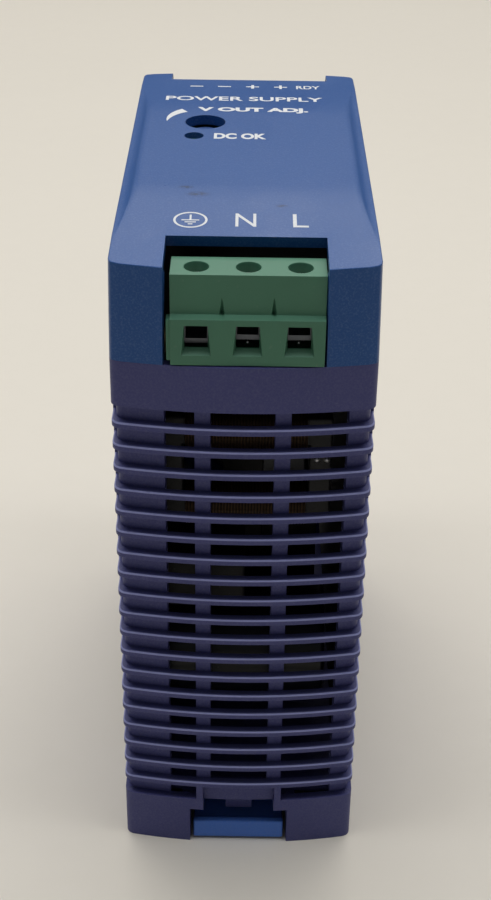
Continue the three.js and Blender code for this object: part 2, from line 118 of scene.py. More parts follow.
class CaseSettings(bpy.types.PropertyGroup):
    wall: length("Wall", "Wall thickness of the case", 1.6)
    end_sag: length("End bow", "How far the ends bow out at the middle", 2.1)
    corner: length("Corner", "Size of the rounded upright corners", 1.5)
    foot_top: length("Foot top", "Height of the plain feet under the louvres", 10.2)
    louvre_top: length("Louvre top", "Height where the plain band over the louvres starts", 89.7)
    louvre_side: length("Louvre side", "Distance from the middle where the louvres start on the sides", 38.5)
    fin_count: IntProperty(name="Fins", description="Number of fins on each end", default=19, min=1)
    fin_pitch: length("Fin pitch", "Distance from one fin to the next", 4.03)
    fin_height: length("Fin height", "Height of a fin's face", 1.1)
    first_fin_top: length("First fin", "Height of the lowest fin's top", 14.25)
    fin_depth: length("Fin depth", "How far the fins stand out of the wall between them", 1.4)
    # The paler band painted under each fin's top, as deep as this radius, is a painted highlight.
    fin_lip: length("Fin lip", "Radius of the fins' upper edge, which is rubbed pale", 0.27)
    side_depth: length("Side depth", "How deep the gaps are at the sides", 0.65)
    edge: length("Edge radius", "Radius of the moulded edges", 0.1)
    shade: colour("Case colour", "Violet grey of the moulded case", 0.064, 0.069, 0.215)


class CoverSettings(bpy.types.PropertyGroup):
    wall: length("Wall", "Wall thickness of the cover", 1.7)
    top_half_width: length("Top half width", "Half the width at the top, after the draft", 19.9)
    end_drop: length("End drop", "How far the front panel falls towards each end", 1.65)
    slope_start: length("Slope start", "Distance from the middle where the fall starts", 20)
    slope_blend: length("Slope blend", "Half the length of the bend into the fall", 4)
    scoop_start: length("Scoop start", "Half width where the scooped shoulders start", 17.7)
    scoop_depth: length("Scoop depth", "How far the shoulders drop at the outer edge", 0.95)
    edge: length("Edge radius", "Radius of the outer edges", 0.5)
    shade: colour("Cover colour", "Blue of the moulded cover", 0.018, 0.090, 0.310)
    ink: colour("Ink colour", "White of the printed marks", 0.74, 0.76, 0.78)


class ClipSettings(bpy.types.PropertyGroup):
    edge: length("Edge radius", "Radius of the clip's edges", 0.3)
    wire: length("Spring wire", "Diameter of the spring wire", 0.45)
    turns: IntProperty(name="Spring turns", description="Number of turns of the spring", default=6, min=2)
    shade: colour("Clip colour", "Blue of the rail clip", 0.070, 0.190, 0.64)


class TerminalSettings(bpy.types.PropertyGroup):
    edge: length("Edge radius", "Radius of the block's edges", 0.18)
    window_reach: length("Window depth", "Depth of the bevelled sill", 1.1)
    shade: colour("Block colour", "Green of the terminal blocks", 0.074, 0.215, 0.140)


class ControlSettings(bpy.types.PropertyGroup):
    rotor_slot: length("Rotor slot", "Width of the screwdriver slot in the trimmer", 1.0)
    rotor_shade: colour("Rotor colour", "Blue of the trimmer's rotor", 0.03, 0.085, 0.27)
    lamp_shade: colour("Lamp colour", "Tint of the status lamp", 0.07, 0.20, 0.12)


# These colours lie well under the parts' own: they are painted shade for the inside of the closed case that the
# louvres show.
class InnerSettings(bpy.types.PropertyGroup):
    board_shade: colour("Board colour", "Brown of the laminate", 0.12, 0.085, 0.035)
    copper_shade: colour("Copper colour", "Enamelled copper wire", 0.055, 0.030, 0.014)
    tape_shade: colour("Tape colour", "Yellow insulating tape", 0.16, 0.115, 0.03)
    sleeve_shade: colour("Sleeve colour", "Dark sleeve of the electrolytic capacitors", 0.005, 0.006, 0.010)


class StageSettings(bpy.types.PropertyGroup):
    floor_shade: colour("Floor colour", "Pale cream table", 0.79, 0.75, 0.67)
    focal_length: FloatProperty(name="Focal length", description="Camera lens", default=61.5, unit="CAMERA")
    key_power: FloatProperty(
        name="Light power", description="Power that the lights take their shares of", default=7.0, unit="POWER")


# Materials -----------------------------------------------------------------------------------------------------


class Value:
    """A number or vector socket on which arithmetic adds Math nodes."""

    def __init__(self, finish, socket):
        self.finish = finish
        self.socket = socket

    def _math(self, operation, *operands):
        return self.finish.node("ShaderNodeMath", {"operation": operation}, dict(enumerate(operands)))

    def __add__(self, other):
        return self._math("ADD", self, other)

    __radd__ = __add__

    def __sub__(self, other):
        return self._math("SUBTRACT", self, other)

    def __rsub__(self, other):
        return self._math("SUBTRACT", other, self)

    def __mul__(self, other):
        return self._math("MULTIPLY", self, other)

    __rmul__ = __mul__

    def __truediv__(self, other):
        return self._math("DIVIDE", self, other)

    def above(self, edge, softness):
        """0 below the edge and 1 above it, with a soft step."""
        return self.finish.node("ShaderNodeMapRange", {"interpolation_type": "SMOOTHSTEP"}, {
            "Value": self, "From Min": edge - softness, "From Max": edge + softness})


class Finish:
    """A material on a Principled shader, with one method that adds any other node."""

    def __init__(self, name, **shader_values):
        self.material = bpy.data.materials.new(name)
        self.material.use_nodes = True
        self.tree = self.material.node_tree
        self.shader = self.tree.nodes["Principled BSDF"]
        self.coordinates = self.tree.nodes.new("ShaderNodeTexCoord").outputs["Object"]
        for socket, value in shader_values.items():
            self.shader.inputs[socket.replace("_", " ")].default_value = value

    def node(self, kind, settings, values, output=0):
        made = self.tree.nodes.new(kind)
        for name, value in settings.items():
            if name == "stops":
                self._set_stops(made.color_ramp, value)
            else:
                setattr(made, name, value)
        for socket, value in values.items():
            self._feed(made.inputs[socket], value)
        return Value(self, made.outputs[output])

    def _feed(self, socket, value):
        if isinstance(value, Value):
            self.tree.links.new(value.socket, socket)
        elif isinstance(value, bpy.types.NodeSocket):
            self.tree.links.new(value, socket)
        else:
            socket.default_value = value

    @staticmethod
    def _set_stops(ramp, stops):
        while len(ramp.elements) < len(stops):
            ramp.elements.new(0.5)
        for element, (position, shade) in zip(ramp.elements, stops):
            element.position = position
            element.color = (*shade, 1)

    def put(self, socket, value):
        self._feed(self.shader.inputs[socket], value)

    def stretched(self, scale):
        """Object coordinates, scaled by a factor for each axis."""
        return self.node("ShaderNodeMapping", {}, {"Vector": self.coordinates, "Scale": scale})

    def noise(self, grain, detail=2.0, roughness=0.5, along=None):
        """Noise with features about as large as grain, in millimetres, from 0 to 1."""
        vector = along or self.coordinates
        return self.node("ShaderNodeTexNoise", {}, {
            "Vector": vector, "Scale": 1 / (grain * MM), "Detail": detail, "Roughness": roughness})

    def axis(self, index):
        """One of the object coordinates: 0 is X, 1 is Y and 2 is Z."""
        return self.node("ShaderNodeSeparateXYZ", {}, {0: self.coordinates}, output=index)

    def blend(self, factor, first, second):
        """Mixes two colours."""
        mix = self.node("ShaderNodeMix", {"data_type": "RGBA"}, {0: factor}, output=2)
        node = mix.socket.node
        for index, value in ((6, first), (7, second)):
            if isinstance(value, Value):
                self._feed(node.inputs[index], value)
            else:
                node.inputs[index].default_value = (*value, 1)
        return mix

    def raise_surface(self, height, depth, strength=1.0):
        """Bumps the surface by height, from 0 to 1, times depth in millimetres."""
        bump = self.node("ShaderNodeBump", {}, {
            "Height": height, "Distance": depth * MM, "Strength": strength})
        self.put("Normal", bump)


def tint(shade, factor):
    """A lighter or darker shade of a colour."""
    return tuple(min(1, part * factor) for part in shade)


def mixed(shade, other, share):
    """A colour part of the way from one to another."""
    return tuple(a + (b - a) * share for a, b in zip(shade, other))


# Pale colours that lie over a plastic's own: its grain, a painted highlight on the fins' upper edges, and dust.
CASE_GRAIN = (0.5, 0.5, 0.55)
COVER_GRAIN = (0.5, 0.55, 0.65)
PAINTED_LIP_HIGHLIGHT = (0.42, 0.45, 0.80)
DUST = (0.6, 0.6, 0.58)
SMOOTH_DUST = (0.7, 0.7, 0.68)

# The dark rub marks on the cover: X, Y and radius of each, in millimetres.
RUB_MARKS = ((-7.6, -20.3, 1.1), (-9.5, -17.7, 0.8), (5.4, -24.2, 0.6))


def lay_dust(f, under, shade, speck, cloud, amount):
    """Scattered pale dust over a colour, which goes to the shader."""
    spots = speck.above(0.70, 0.06) * cloud * amount
    f.put("Base Color", f.blend(spots, under, mixed(shade, DUST, 0.5)))


def moulded_plastic(name, shade, roughness, grain=0.32, depth=0.012, dust=0.10, lips=None):
    """Moulded plastic with a fine spark-eroded grain, faint flow shading, rubbed patches and a little dust, and
    where lip highlights are given, a paler painted highlight along each fin's upper edge.

    The lip highlights are the height of the first painted highlight, the pitch, the count, the depth of each and
    how far from the middle they start, in millimetres.
    """
    f = Finish(name, Roughness=roughness, IOR=1.49, Specular_IOR_Level=0.22)
    cloud = f.noise(22, detail=3)
    fine = f.noise(grain, detail=1.5, roughness=0.55)
    speck = f.noise(0.9, detail=2)
    base = f.blend(cloud, tint(shade, 0.93), tint(shade, 1.07))
    grainy = f.blend(fine.above(0.55, 0.22), base, f.blend(0.5, base, mixed(shade, CASE_GRAIN, 0.10)))
    if lips:
        # A paler painted highlight along each fin's upper edge.
        grainy = f.blend(painted_lip_highlights(f, *lips), grainy, mixed(shade, PAINTED_LIP_HIGHLIGHT, 0.7))
    lay_dust(f, grainy, shade, speck, cloud, dust)
    rubbed = f.noise(9, detail=4, roughness=0.6).above(0.62, 0.10)
    f.put("Roughness", roughness + (fine - 0.5) * 0.10 - rubbed * 0.06)
    f.raise_surface(fine + speck * 0.35, depth)
    return f.material


def painted_lip_highlights(f, first, pitch, count, depth, reach):
    """A mask of painted highlights: thin level bands beyond a reach from the middle, one just under the top of each
    fin.
    """
    ends = f.node("ShaderNodeMath", {"operation": "ABSOLUTE"}, {0: f.axis(1)}).above(reach * MM, 0.2 * MM)
    steps = (f.axis(2) - (first - depth) * MM) / (pitch * MM)
    past = f.node("ShaderNodeMath", {"operation": "FRACT"}, {0: steps})
    band = (1 - past.above(depth / pitch, 0.008)) * past.above(0.006, 0.006)
    return band * ends * steps.above(-0.1, 0.05) * (1 - steps.above(count - 0.5, 0.05))


def smooth_plastic(name, shade, roughness, dust=0.06):
    """Unfilled moulded plastic with a satin surface and faint ripples."""
    f = Finish(name, Roughness=roughness, IOR=1.5, Specular_IOR_Level=0.3)
    cloud = f.noise(6, detail=3)
    fine = f.noise(0.25, detail=2)
    base = f.blend(cloud, tint(shade, 0.92), tint(shade, 1.08))
    speck = f.noise(0.7).above(0.72, 0.05) * dust
    f.put("Base Color", f.blend(speck, base, mixed(shade, SMOOTH_DUST, 0.6)))
    f.put("Roughness", roughness + (cloud - 0.5) * 0.12)
    f.raise_surface(cloud * 0.6 + fine * 0.4, 0.008)
    return f.material


def cover_plastic(shade):
    """The cover's grained plastic, with dark rub marks behind the input marks."""
    f = Finish("cover blue plastic", Roughness=0.35, IOR=1.5, Specular_IOR_Level=0.25)
    cloud = f.noise(26, detail=3)
    fine = f.noise(0.30, detail=1.5, roughness=0.55)
    speck = f.noise(0.8, detail=2)
    grainy = f.blend(fine.above(0.58, 0.14), tint(shade, 0.92), mixed(shade, COVER_GRAIN, 0.05))
    mark = None
    for x, y, radius in RUB_MARKS:
        offset = f.node("ShaderNodeVectorMath", {"operation": "DISTANCE"}, {
            0: f.stretched((0.8, 1.6, 0)), 1: (x * 0.8 * MM, y * 1.6 * MM, 0)}, output=1)
        spot = 1 - offset.above(radius * MM, radius * 0.8 * MM)
        mark = spot if mark is None else mark + spot
    broken = f.noise(0.7, detail=4).above(0.45, 0.12) * mark
    lay_dust(f, f.blend(broken * 0.9, grainy, tint(shade, 0.3)), shade, speck, cloud, 0.10)
    f.put("Roughness", 0.35 + (fine - 0.5) * 0.12 - f.noise(12, detail=4).above(0.60, 0.12) * 0.05)
    f.raise_surface(fine + speck * 0.3, 0.018)
    return f.material


def plated_metal(name, shade, roughness, brushed=None):
    """Plated or bare metal with fine scratches, along an axis where it is brushed."""
    f = Finish(name, Metallic=1.0, Roughness=roughness)
    cloud = f.noise(1.5, detail=4)
    fine = f.noise(0.12, detail=2, along=f.stretched(brushed) if brushed else None)
    f.put("Base Color", f.blend(cloud, tint(shade, 0.80), tint(shade, 1.12)))
    f.put("Roughness", roughness + (fine - 0.5) * 0.22 + (cloud - 0.5) * 0.16)
    f.raise_surface(fine, 0.01)
    return f.material


def laminate(shade):
    """Board laminate: woven glass under a thin brown resin, with darker clouds."""
    f = Finish("board laminate", Roughness=0.45, IOR=1.5)
    thread = 1.1
    weave, cross = (
        f.node("ShaderNodeTexWave", {"wave_type": "BANDS", "bands_direction": direction}, {
            "Vector": f.coordinates, "Scale": 1 / (thread * MM), "Distortion": 0.6})
        for direction in "YZ")
    cloud = f.noise(14, detail=3)
    woven = f.blend(weave * cross, tint(shade, 0.85), tint(shade, 1.2))
    f.put("Base Color", f.blend(cloud * 0.4, woven, tint(shade, 0.7)))
    f.put("Roughness", 0.42 + cloud * 0.12)
    f.raise_surface(weave * cross, 0.01)
    return f.material


def copper_winding(name, shade, pitch):
    """Enamelled wire laid side by side round the X axis."""
    f = Finish(name, Metallic=0.85, Roughness=0.45, Coat_Weight=0.1)
    turns = f.node("ShaderNodeTexWave", {"wave_type": "BANDS", "bands_direction": "X", "wave_profile": "SIN"}, {
        "Vector": f.coordinates, "Scale": 1 / (pitch * MM) / 3.1416, "Distortion": 0.15})
    cloud = f.noise(3, detail=3)
    f.put("Base Color", f.blend(turns, tint(shade, 0.45), f.blend(cloud, tint(shade, 0.85), tint(shade, 1.2))))
    f.put("Roughness", 0.30 + (1 - turns) * 0.3)
    f.raise_surface(turns, 0.12)
    return f.material


def lamp_lens(shade):
    """Tinted clear epoxy of an unlit lamp."""
    f = Finish("lamp lens", Roughness=0.2, IOR=1.54, Transmission_Weight=0.15, Coat_Weight=1.0, Coat_Roughness=0.12)
    cloud = f.noise(1.2, detail=2)
    f.put("Base Color", f.blend(cloud, tint(shade, 0.8), tint(shade, 1.3)))
    f.put("Roughness", 0.18 + cloud * 0.08)
    return f.material


def glass_tube():
    """Clear glass of a fuse, with a faint haze."""
    f = Finish("fuse glass", Roughness=0.05, IOR=1.5, Transmission_Weight=0.9)
    haze = f.noise(2.5, detail=3)
    f.put("Base Color", f.blend(haze, (0.88, 0.92, 0.92), (0.98, 0.99, 0.99)))
    f.put("Roughness", 0.03 + haze * 0.08)
    return f.material


def ferrite():
    """Sintered ferrite, dark grey and slightly pitted."""
    f = Finish("ferrite", Roughness=0.55, IOR=1.6)
    cloud = f.noise(2.2, detail=4)
    pits = f.noise(0.35, detail=3)
    f.put("Base Color", f.blend(cloud, (0.008, 0.008, 0.009), (0.02, 0.02, 0.022)))
    f.put("Roughness", 0.5 + pits * 0.2)
    f.raise_surface(pits, 0.03)
    return f.material


def table_top(shade):
    """A pale table with a fine mottled laminate."""
    f = Finish("table", Roughness=0.55, IOR=1.45)
    cloud = f.noise(180, detail=3)
    mottle = f.noise(7, detail=5, roughness=0.65)
    base = f.blend(cloud, tint(shade, 0.97), tint(shade, 1.03))
    f.put("Base Color", f.blend(mottle * 0.35, base, tint(shade, 0.93)))
    f.put("Roughness", 0.5 + mottle * 0.1)
    return f.material


# Mesh tools ----------------------------------------------------------------------------------------------------

# Lengths in millimetres: corners this close become one, in new pieces and in copies of CAD nodes.
WELD = 1e-4
CAD_WELD = 1e-3
# Two positions this close count as the same.
NEAR = 0.01


def unique(items):
    """Each item once, in the order that it comes. A set of mesh parts has another order in each run."""
    return list(dict.fromkeys(items))


def skin(bm, columns, rows, place, closed=False):
    """A grid of faces whose corners are at place(column, row). A closed one meets itself after the last column."""
    made = bmesh.ops.create_grid(bm, x_segments=columns - 1, y_segments=rows - 1, size=1)
    verts = made["verts"]
    for vert in verts:
        column = round((vert.co.x + 1) / 2 * (columns - 1))
        row = round((vert.co.y + 1) / 2 * (rows - 1))
        vert.co = place(column, row)
    faces = unique(face for vert in verts for face in vert.link_faces)
    if closed:
        bmesh.ops.remove_doubles(bm, verts=verts, dist=WELD)
        faces = [face for face in faces if face.is_valid]
    return faces


def thicken(bm, faces, thickness):
    """Gives a sheet of outward-facing faces a wall on its inner side, and returns all its faces."""
    before = set(bm.faces) - set(faces)
    bm.normal_update()
    bmesh.ops.solidify(bm, geom=faces, thickness=thickness)
    return [face for face in bm.faces if face not in before]


def delete_where(bm, faces, test):
    """Deletes the faces whose centre meets the test, and returns the rest."""
    gone = [face for face in faces if test(face.calc_center_median())]
    bmesh.ops.delete(bm, geom=gone, context="FACES")
    return [face for face in faces if face.is_valid]


def hard_edges(faces, degrees=40):
    """Edges between two of the faces that turn by more than an angle."""
    edges = unique(edge for face in faces for edge in face.edges if len(edge.link_faces) == 2)
    return [edge for edge in edges if edge.calc_face_angle() > math.radians(degrees)]


def round_off(bm, edges, radius, segments=2):
    """Bevels edges to a round."""
    bmesh.ops.bevel(
        bm, geom=list(edges), offset=radius, offset_type="OFFSET", segments=segments, profile=0.5,
        affect="EDGES", material=-1, clamp_overlap=True)


def bar(bm, x, y, z, radius=0.15, segments=2):
    """A box between pairs of limits, with rounded edges."""
    made = bmesh.ops.create_cube(bm, size=1)["verts"]
    for vert in made:
        for axis, limits in enumerate((x, y, z)):
            vert.co[axis] = (limits[0] + limits[1]) / 2 + vert.co[axis] * (limits[1] - limits[0])
    if radius:
        round_off(bm, unique(edge for vert in made for edge in vert.link_edges), radius, segments)


def turned(bm, profile, centre, axis="Z", steps=32):
    """A solid of revolution from (radius, height) points that start and end on the axis."""
    verts = [bm.verts.new((radius, 0, height)) for radius, height in profile]
    edges = [bm.edges.new(pair) for pair in zip(verts, verts[1:])]
    bmesh.ops.spin(
        bm, geom=verts + edges, cent=(0, 0, 0), axis=(0, 0, 1), dvec=(0, 0, 0), angle=2 * math.pi,
        steps=steps, use_merge=True, use_normal_flip=False, use_duplicate=False)
    island = grown(verts)
    bmesh.ops.remove_doubles(bm, verts=island, dist=WELD)
    island = [vert for vert in island if vert.is_valid]
    turn = {"X": Matrix.Rotation(math.pi / 2, 3, "Y"), "Y": Matrix.Rotation(math.pi / 2, 3, "X"),
            "Z": Matrix.Identity(3)}[axis]
    bmesh.ops.rotate(bm, cent=(0, 0, 0), matrix=turn, verts=island)
    bmesh.ops.translate(bm, vec=centre, verts=island)
    faces = unique(face for vert in island for face in vert.link_faces)
    bmesh.ops.recalc_face_normals(bm, faces=faces)
    return faces


def drawn_out(bm, edges):
    """Extrudes a chain of edges, and returns the new chain's vertices and edges."""
    made = bmesh.ops.extrude_edge_only(bm, edges=edges)["geom"]
    verts = [item for item in made if isinstance(item, bmesh.types.BMVert)]
    chain = [item for item in made if isinstance(item, bmesh.types.BMEdge) and set(item.verts) <= set(verts)]
    return verts, chain


def pierce(bm, border, centre, radius, segments):
    """Fills the gap between a straight-sided border and a round hole in it, and returns the hole's edge."""
    ring = bmesh.ops.create_circle(bm, segments=segments, radius=radius, matrix=Matrix.Translation(centre))["verts"]
    around = unique(edge for vert in ring for edge in vert.link_edges)
    bmesh.ops.triangle_fill(bm, edges=border + around, use_beauty=True, use_dissolve=False, normal=(0, 0, 1))
    return around


def sink_slot(bm, middle_y, half, floor, rim, facing):
    """Sinks a driver slot along X: cuts a head at the slot's edges and lowers what lies between them to a floor.

    Only faces above the rim are lowered, whose normals point up by more than the facing share.
    """
    for side in (-1, 1):
        bmesh.ops.bisect_plane(
            bm, geom=bm.verts[:] + bm.edges[:] + bm.faces[:], plane_co=(0, middle_y + side * half, 0),
            plane_no=(0, 1, 0), dist=1e-5)
    cell = [face for face in bm.faces if abs(face.calc_center_median().y - middle_y) < half
            and face.calc_center_median().z > rim and face.normal.z > facing]
    made = bmesh.ops.extrude_face_region(bm, geom=cell)["geom"]
    bmesh.ops.delete(bm, geom=cell, context="FACES")
    for vert in [item for item in made if isinstance(item, bmesh.types.BMVert)]:
        vert.co.z = floor


def on_side(side, near, far):
    """Limits between two distances from the middle, on the side given by 1 or -1."""
    return sorted((side * near, side * far))


def in_limits(value, limits, slack=NEAR):
    """Whether a value lies between limits, or a slack outside them."""
    return limits[0] - slack < value < limits[1] + slack


def grown(verts):
    """All vertices joined to the given ones."""
    found = dict.fromkeys(verts)
    front = list(verts)
    while front:
        joined = unique(edge.other_vert(vert) for vert in front for edge in vert.link_edges)
        front = [vert for vert in joined if vert not in found]
        found.update(dict.fromkeys(front))
    return list(found)


def put_in_scene(made):
    """Links an object to the scene."""
    bpy.context.scene.collection.objects.link(made)


def piece(bm, name, body, material, stands_for=(), smooth_below=50):
    """Turns a mesh in millimetres into a finished piece that rides on a body."""
    bmesh.ops.recalc_face_normals(bm, faces=bm.faces)
    if bm.calc_volume(signed=True) < 0:
        bmesh.ops.reverse_faces(bm, faces=bm.faces)
    bmesh.ops.scale(bm, vec=(MM, MM, MM), verts=bm.verts)
    mesh = bpy.data.meshes.new(name)
    bm.to_mesh(mesh)
    bm.free()
    mesh.materials.append(material)
    mesh.shade_smooth()
    mesh.set_sharp_from_angle(angle=math.radians(smooth_below))
    made = bpy.data.objects.new(name, mesh)
    put_in_scene(made)
    weighted = made.modifiers.new("Even normals", "WEIGHTED_NORMAL")
    weighted.keep_sharp = True
    weighted.weight = 60
    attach(made, body)
    if stands_for:
        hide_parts(*stands_for)
    return made


def dress(material, *nodes):
    """Gives CAD nodes a finished material."""
    for name in nodes:
        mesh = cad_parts[name].data
        mesh.materials.clear()
        mesh.materials.append(material)


def softened(name, body, material, node, radius, segments=2):
    """A copy of a CAD node with its faces merged and its edges rounded, which stands for the node."""
    bm = bmesh.new()
    bm.from_mesh(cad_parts[node].data)
    bmesh.ops.scale(bm, vec=(1 / MM, 1 / MM, 1 / MM), verts=bm.verts)
    bmesh.ops.remove_doubles(bm, verts=bm.verts, dist=CAD_WELD)
    bmesh.ops.dissolve_limit(bm, angle_limit=math.radians(1), verts=bm.verts, edges=bm.edges)
    round_off(bm, hard_edges(bm.faces, 50), radius, segments)
    return piece(bm, name, body, material, [node])


# The housing's plan, side and shoulders, shared by the case and the cover ---------------------------------------


HALF_WIDTH, HALF_LENGTH, TOP = CAD_BOX[1] / MM
SEAM = cad_box("case_body")[1].z

# How far the printed ink stands over the panel, which lies as much under the CAD box.
INK_RISE = 0.02

# The terminal bays in the cover: their limits in X and the Y where they start.
INPUT_OPENING = (-11.9, 12.1, -34.5)
OUTPUT_OPENING = (-14.5, 14.8, 39.5)

# The rail side: the height of the rail's seat, and the flat of it in Y between the grooves.
RAIL_SEAT = 5.6
RAIL_FLAT = (-15.0, 14.6)
CHANNEL_HALF_WIDTH = 17.9

# The bay that the clip slides in, and the narrower notch over it.
BAY_TOP = 7.7
BAY_HALF_WIDTH = 8.7
NOTCH_HALF_WIDTH = 6.25
NOTCH_WALL_BOTTOM = 9.1

# The columns of slots between the fins, as limits in X.
SLOT_COLUMNS = ((-12.1, -7.5), (-5.0, 4.9), (7.4, 16.2))

# How far the clip slides out, as its joint allows.
CLIP_TRAVEL = 4.0

# How far the choke's lead ends lie under the top of its frame.
LEAD_DROP = 7.2


class Plan:
    """The plan of the housing, inset by a wall: straight sides and ends that bow out on one arc."""

    def __init__(self, side_inset=0.0, end_inset=0.0):
        sizes = Millimetres(bpy.context.scene.case_settings)
        self.half = HALF_WIDTH - side_inset
        sag = sizes.end_sag
        self.radius = (HALF_WIDTH ** 2 + sag ** 2) / (2 * sag) - end_inset
        self.centre = HALF_LENGTH - end_inset - self.radius
        self.arc_x = self.half - sizes.corner
        sweep = math.asin(self.arc_x / self.radius)
        self.arc_y = self.centre + self.radius * math.cos(sweep)
        self.tangent_y = self.arc_y - sizes.corner * math.tan(sweep)
        self.side_y = self.tangent_y - sizes.corner

    def y_at(self, x):
        """Distance of the end face from the middle at x."""
        x = min(abs(x), self.half)
        if x <= self.arc_x:
            return self.centre + math.sqrt(self.radius ** 2 - x ** 2)
        t = math.sqrt((x - self.half) / (self.arc_x - self.half)) if self.half > self.arc_x else 0
        return self.side_y * (1 - t) ** 2 + 2 * self.tangent_y * t * (1 - t) + self.arc_y * t ** 2

    def corner(self, side, steps=6):
        """Points round the corner from the side to the end arc."""
        points = []
        for step in range(steps + 1):
            t = step / steps
            x = self.half * (1 - t) ** 2 + 2 * self.half * t * (1 - t) + self.arc_x * t ** 2
            y = self.side_y * (1 - t) ** 2 + 2 * self.tangent_y * t * (1 - t) + self.arc_y * t ** 2
            points.append((side * x, y))
        return points

    def end(self, start_y, stops=()):
        """From the +X side at start_y, round the end, to the -X side."""
        count = 12
        xs = {round(self.arc_x * 0.97 * step / count, 3) for step in range(-count, count + 1)}
        xs = {x for x in xs if all(abs(x - stop) > 0.5 for stop in stops)} | set(stops)
        middle = [(x, self.y_at(x)) for x in sorted(xs, reverse=True)]
        left = [(x, y) for x, y in reversed(self.corner(-1))]
        return [(self.half, start_y)] + self.corner(1) + middle + left + [(-self.half, start_y)]


def turned_round(points):
    """The same outline at the other end: turned half round in plan."""
    return [(-x, -y) for x, y in points]


def at_end(points, end):
    """Points drawn for the +Y end, placed at either end without swapping left and right."""
    return points if end > 0 else [(x, -y) for x, y in reversed(points)]


def panel_z(x, y):
    """Height of the front panel's surface, with its falling ends and scooped shoulders."""
    sizes = Millimetres(bpy.context.scene.cover_settings)
    return min(slope_z(y, sizes), shoulder_z(x, sizes)) - INK_RISE


def slope_z(y, sizes):
    """Height of the panel along its middle, which falls towards each end after a short bend."""
    fall = sizes.end_drop / (HALF_LENGTH - sizes.slope_start)
    past = abs(y) - sizes.slope_start
    blend = sizes.slope_blend
    if past <= -blend:
        return TOP
    if past >= blend:
        return TOP - fall * past
    return TOP - fall * (past + blend) ** 2 / (4 * blend)


def shoulder_z(x, sizes):
    """Height across the panel, which drops in a scoop towards each side."""
    share = (abs(x) - sizes.scoop_start) / (sizes.top_half_width - sizes.scoop_start)
    if share <= 0:
        return TOP
    return TOP - sizes.scoop_depth * (1 - (1 - min(share, 1)) ** 2)


def crease_x(y, sizes):
    """Half width where the shoulder's scoop meets the front panel."""
    drop = (TOP - slope_z(y, sizes)) / sizes.scoop_depth
    share = 1 - math.sqrt(max(0.0, 1 - drop)) if drop < 1 else 1
    span = sizes.top_half_width - sizes.scoop_start
    return sizes.scoop_start + span * min(share, 0.75)


# Operators: one for each piece or group of like pieces ----------------------------------------------------------


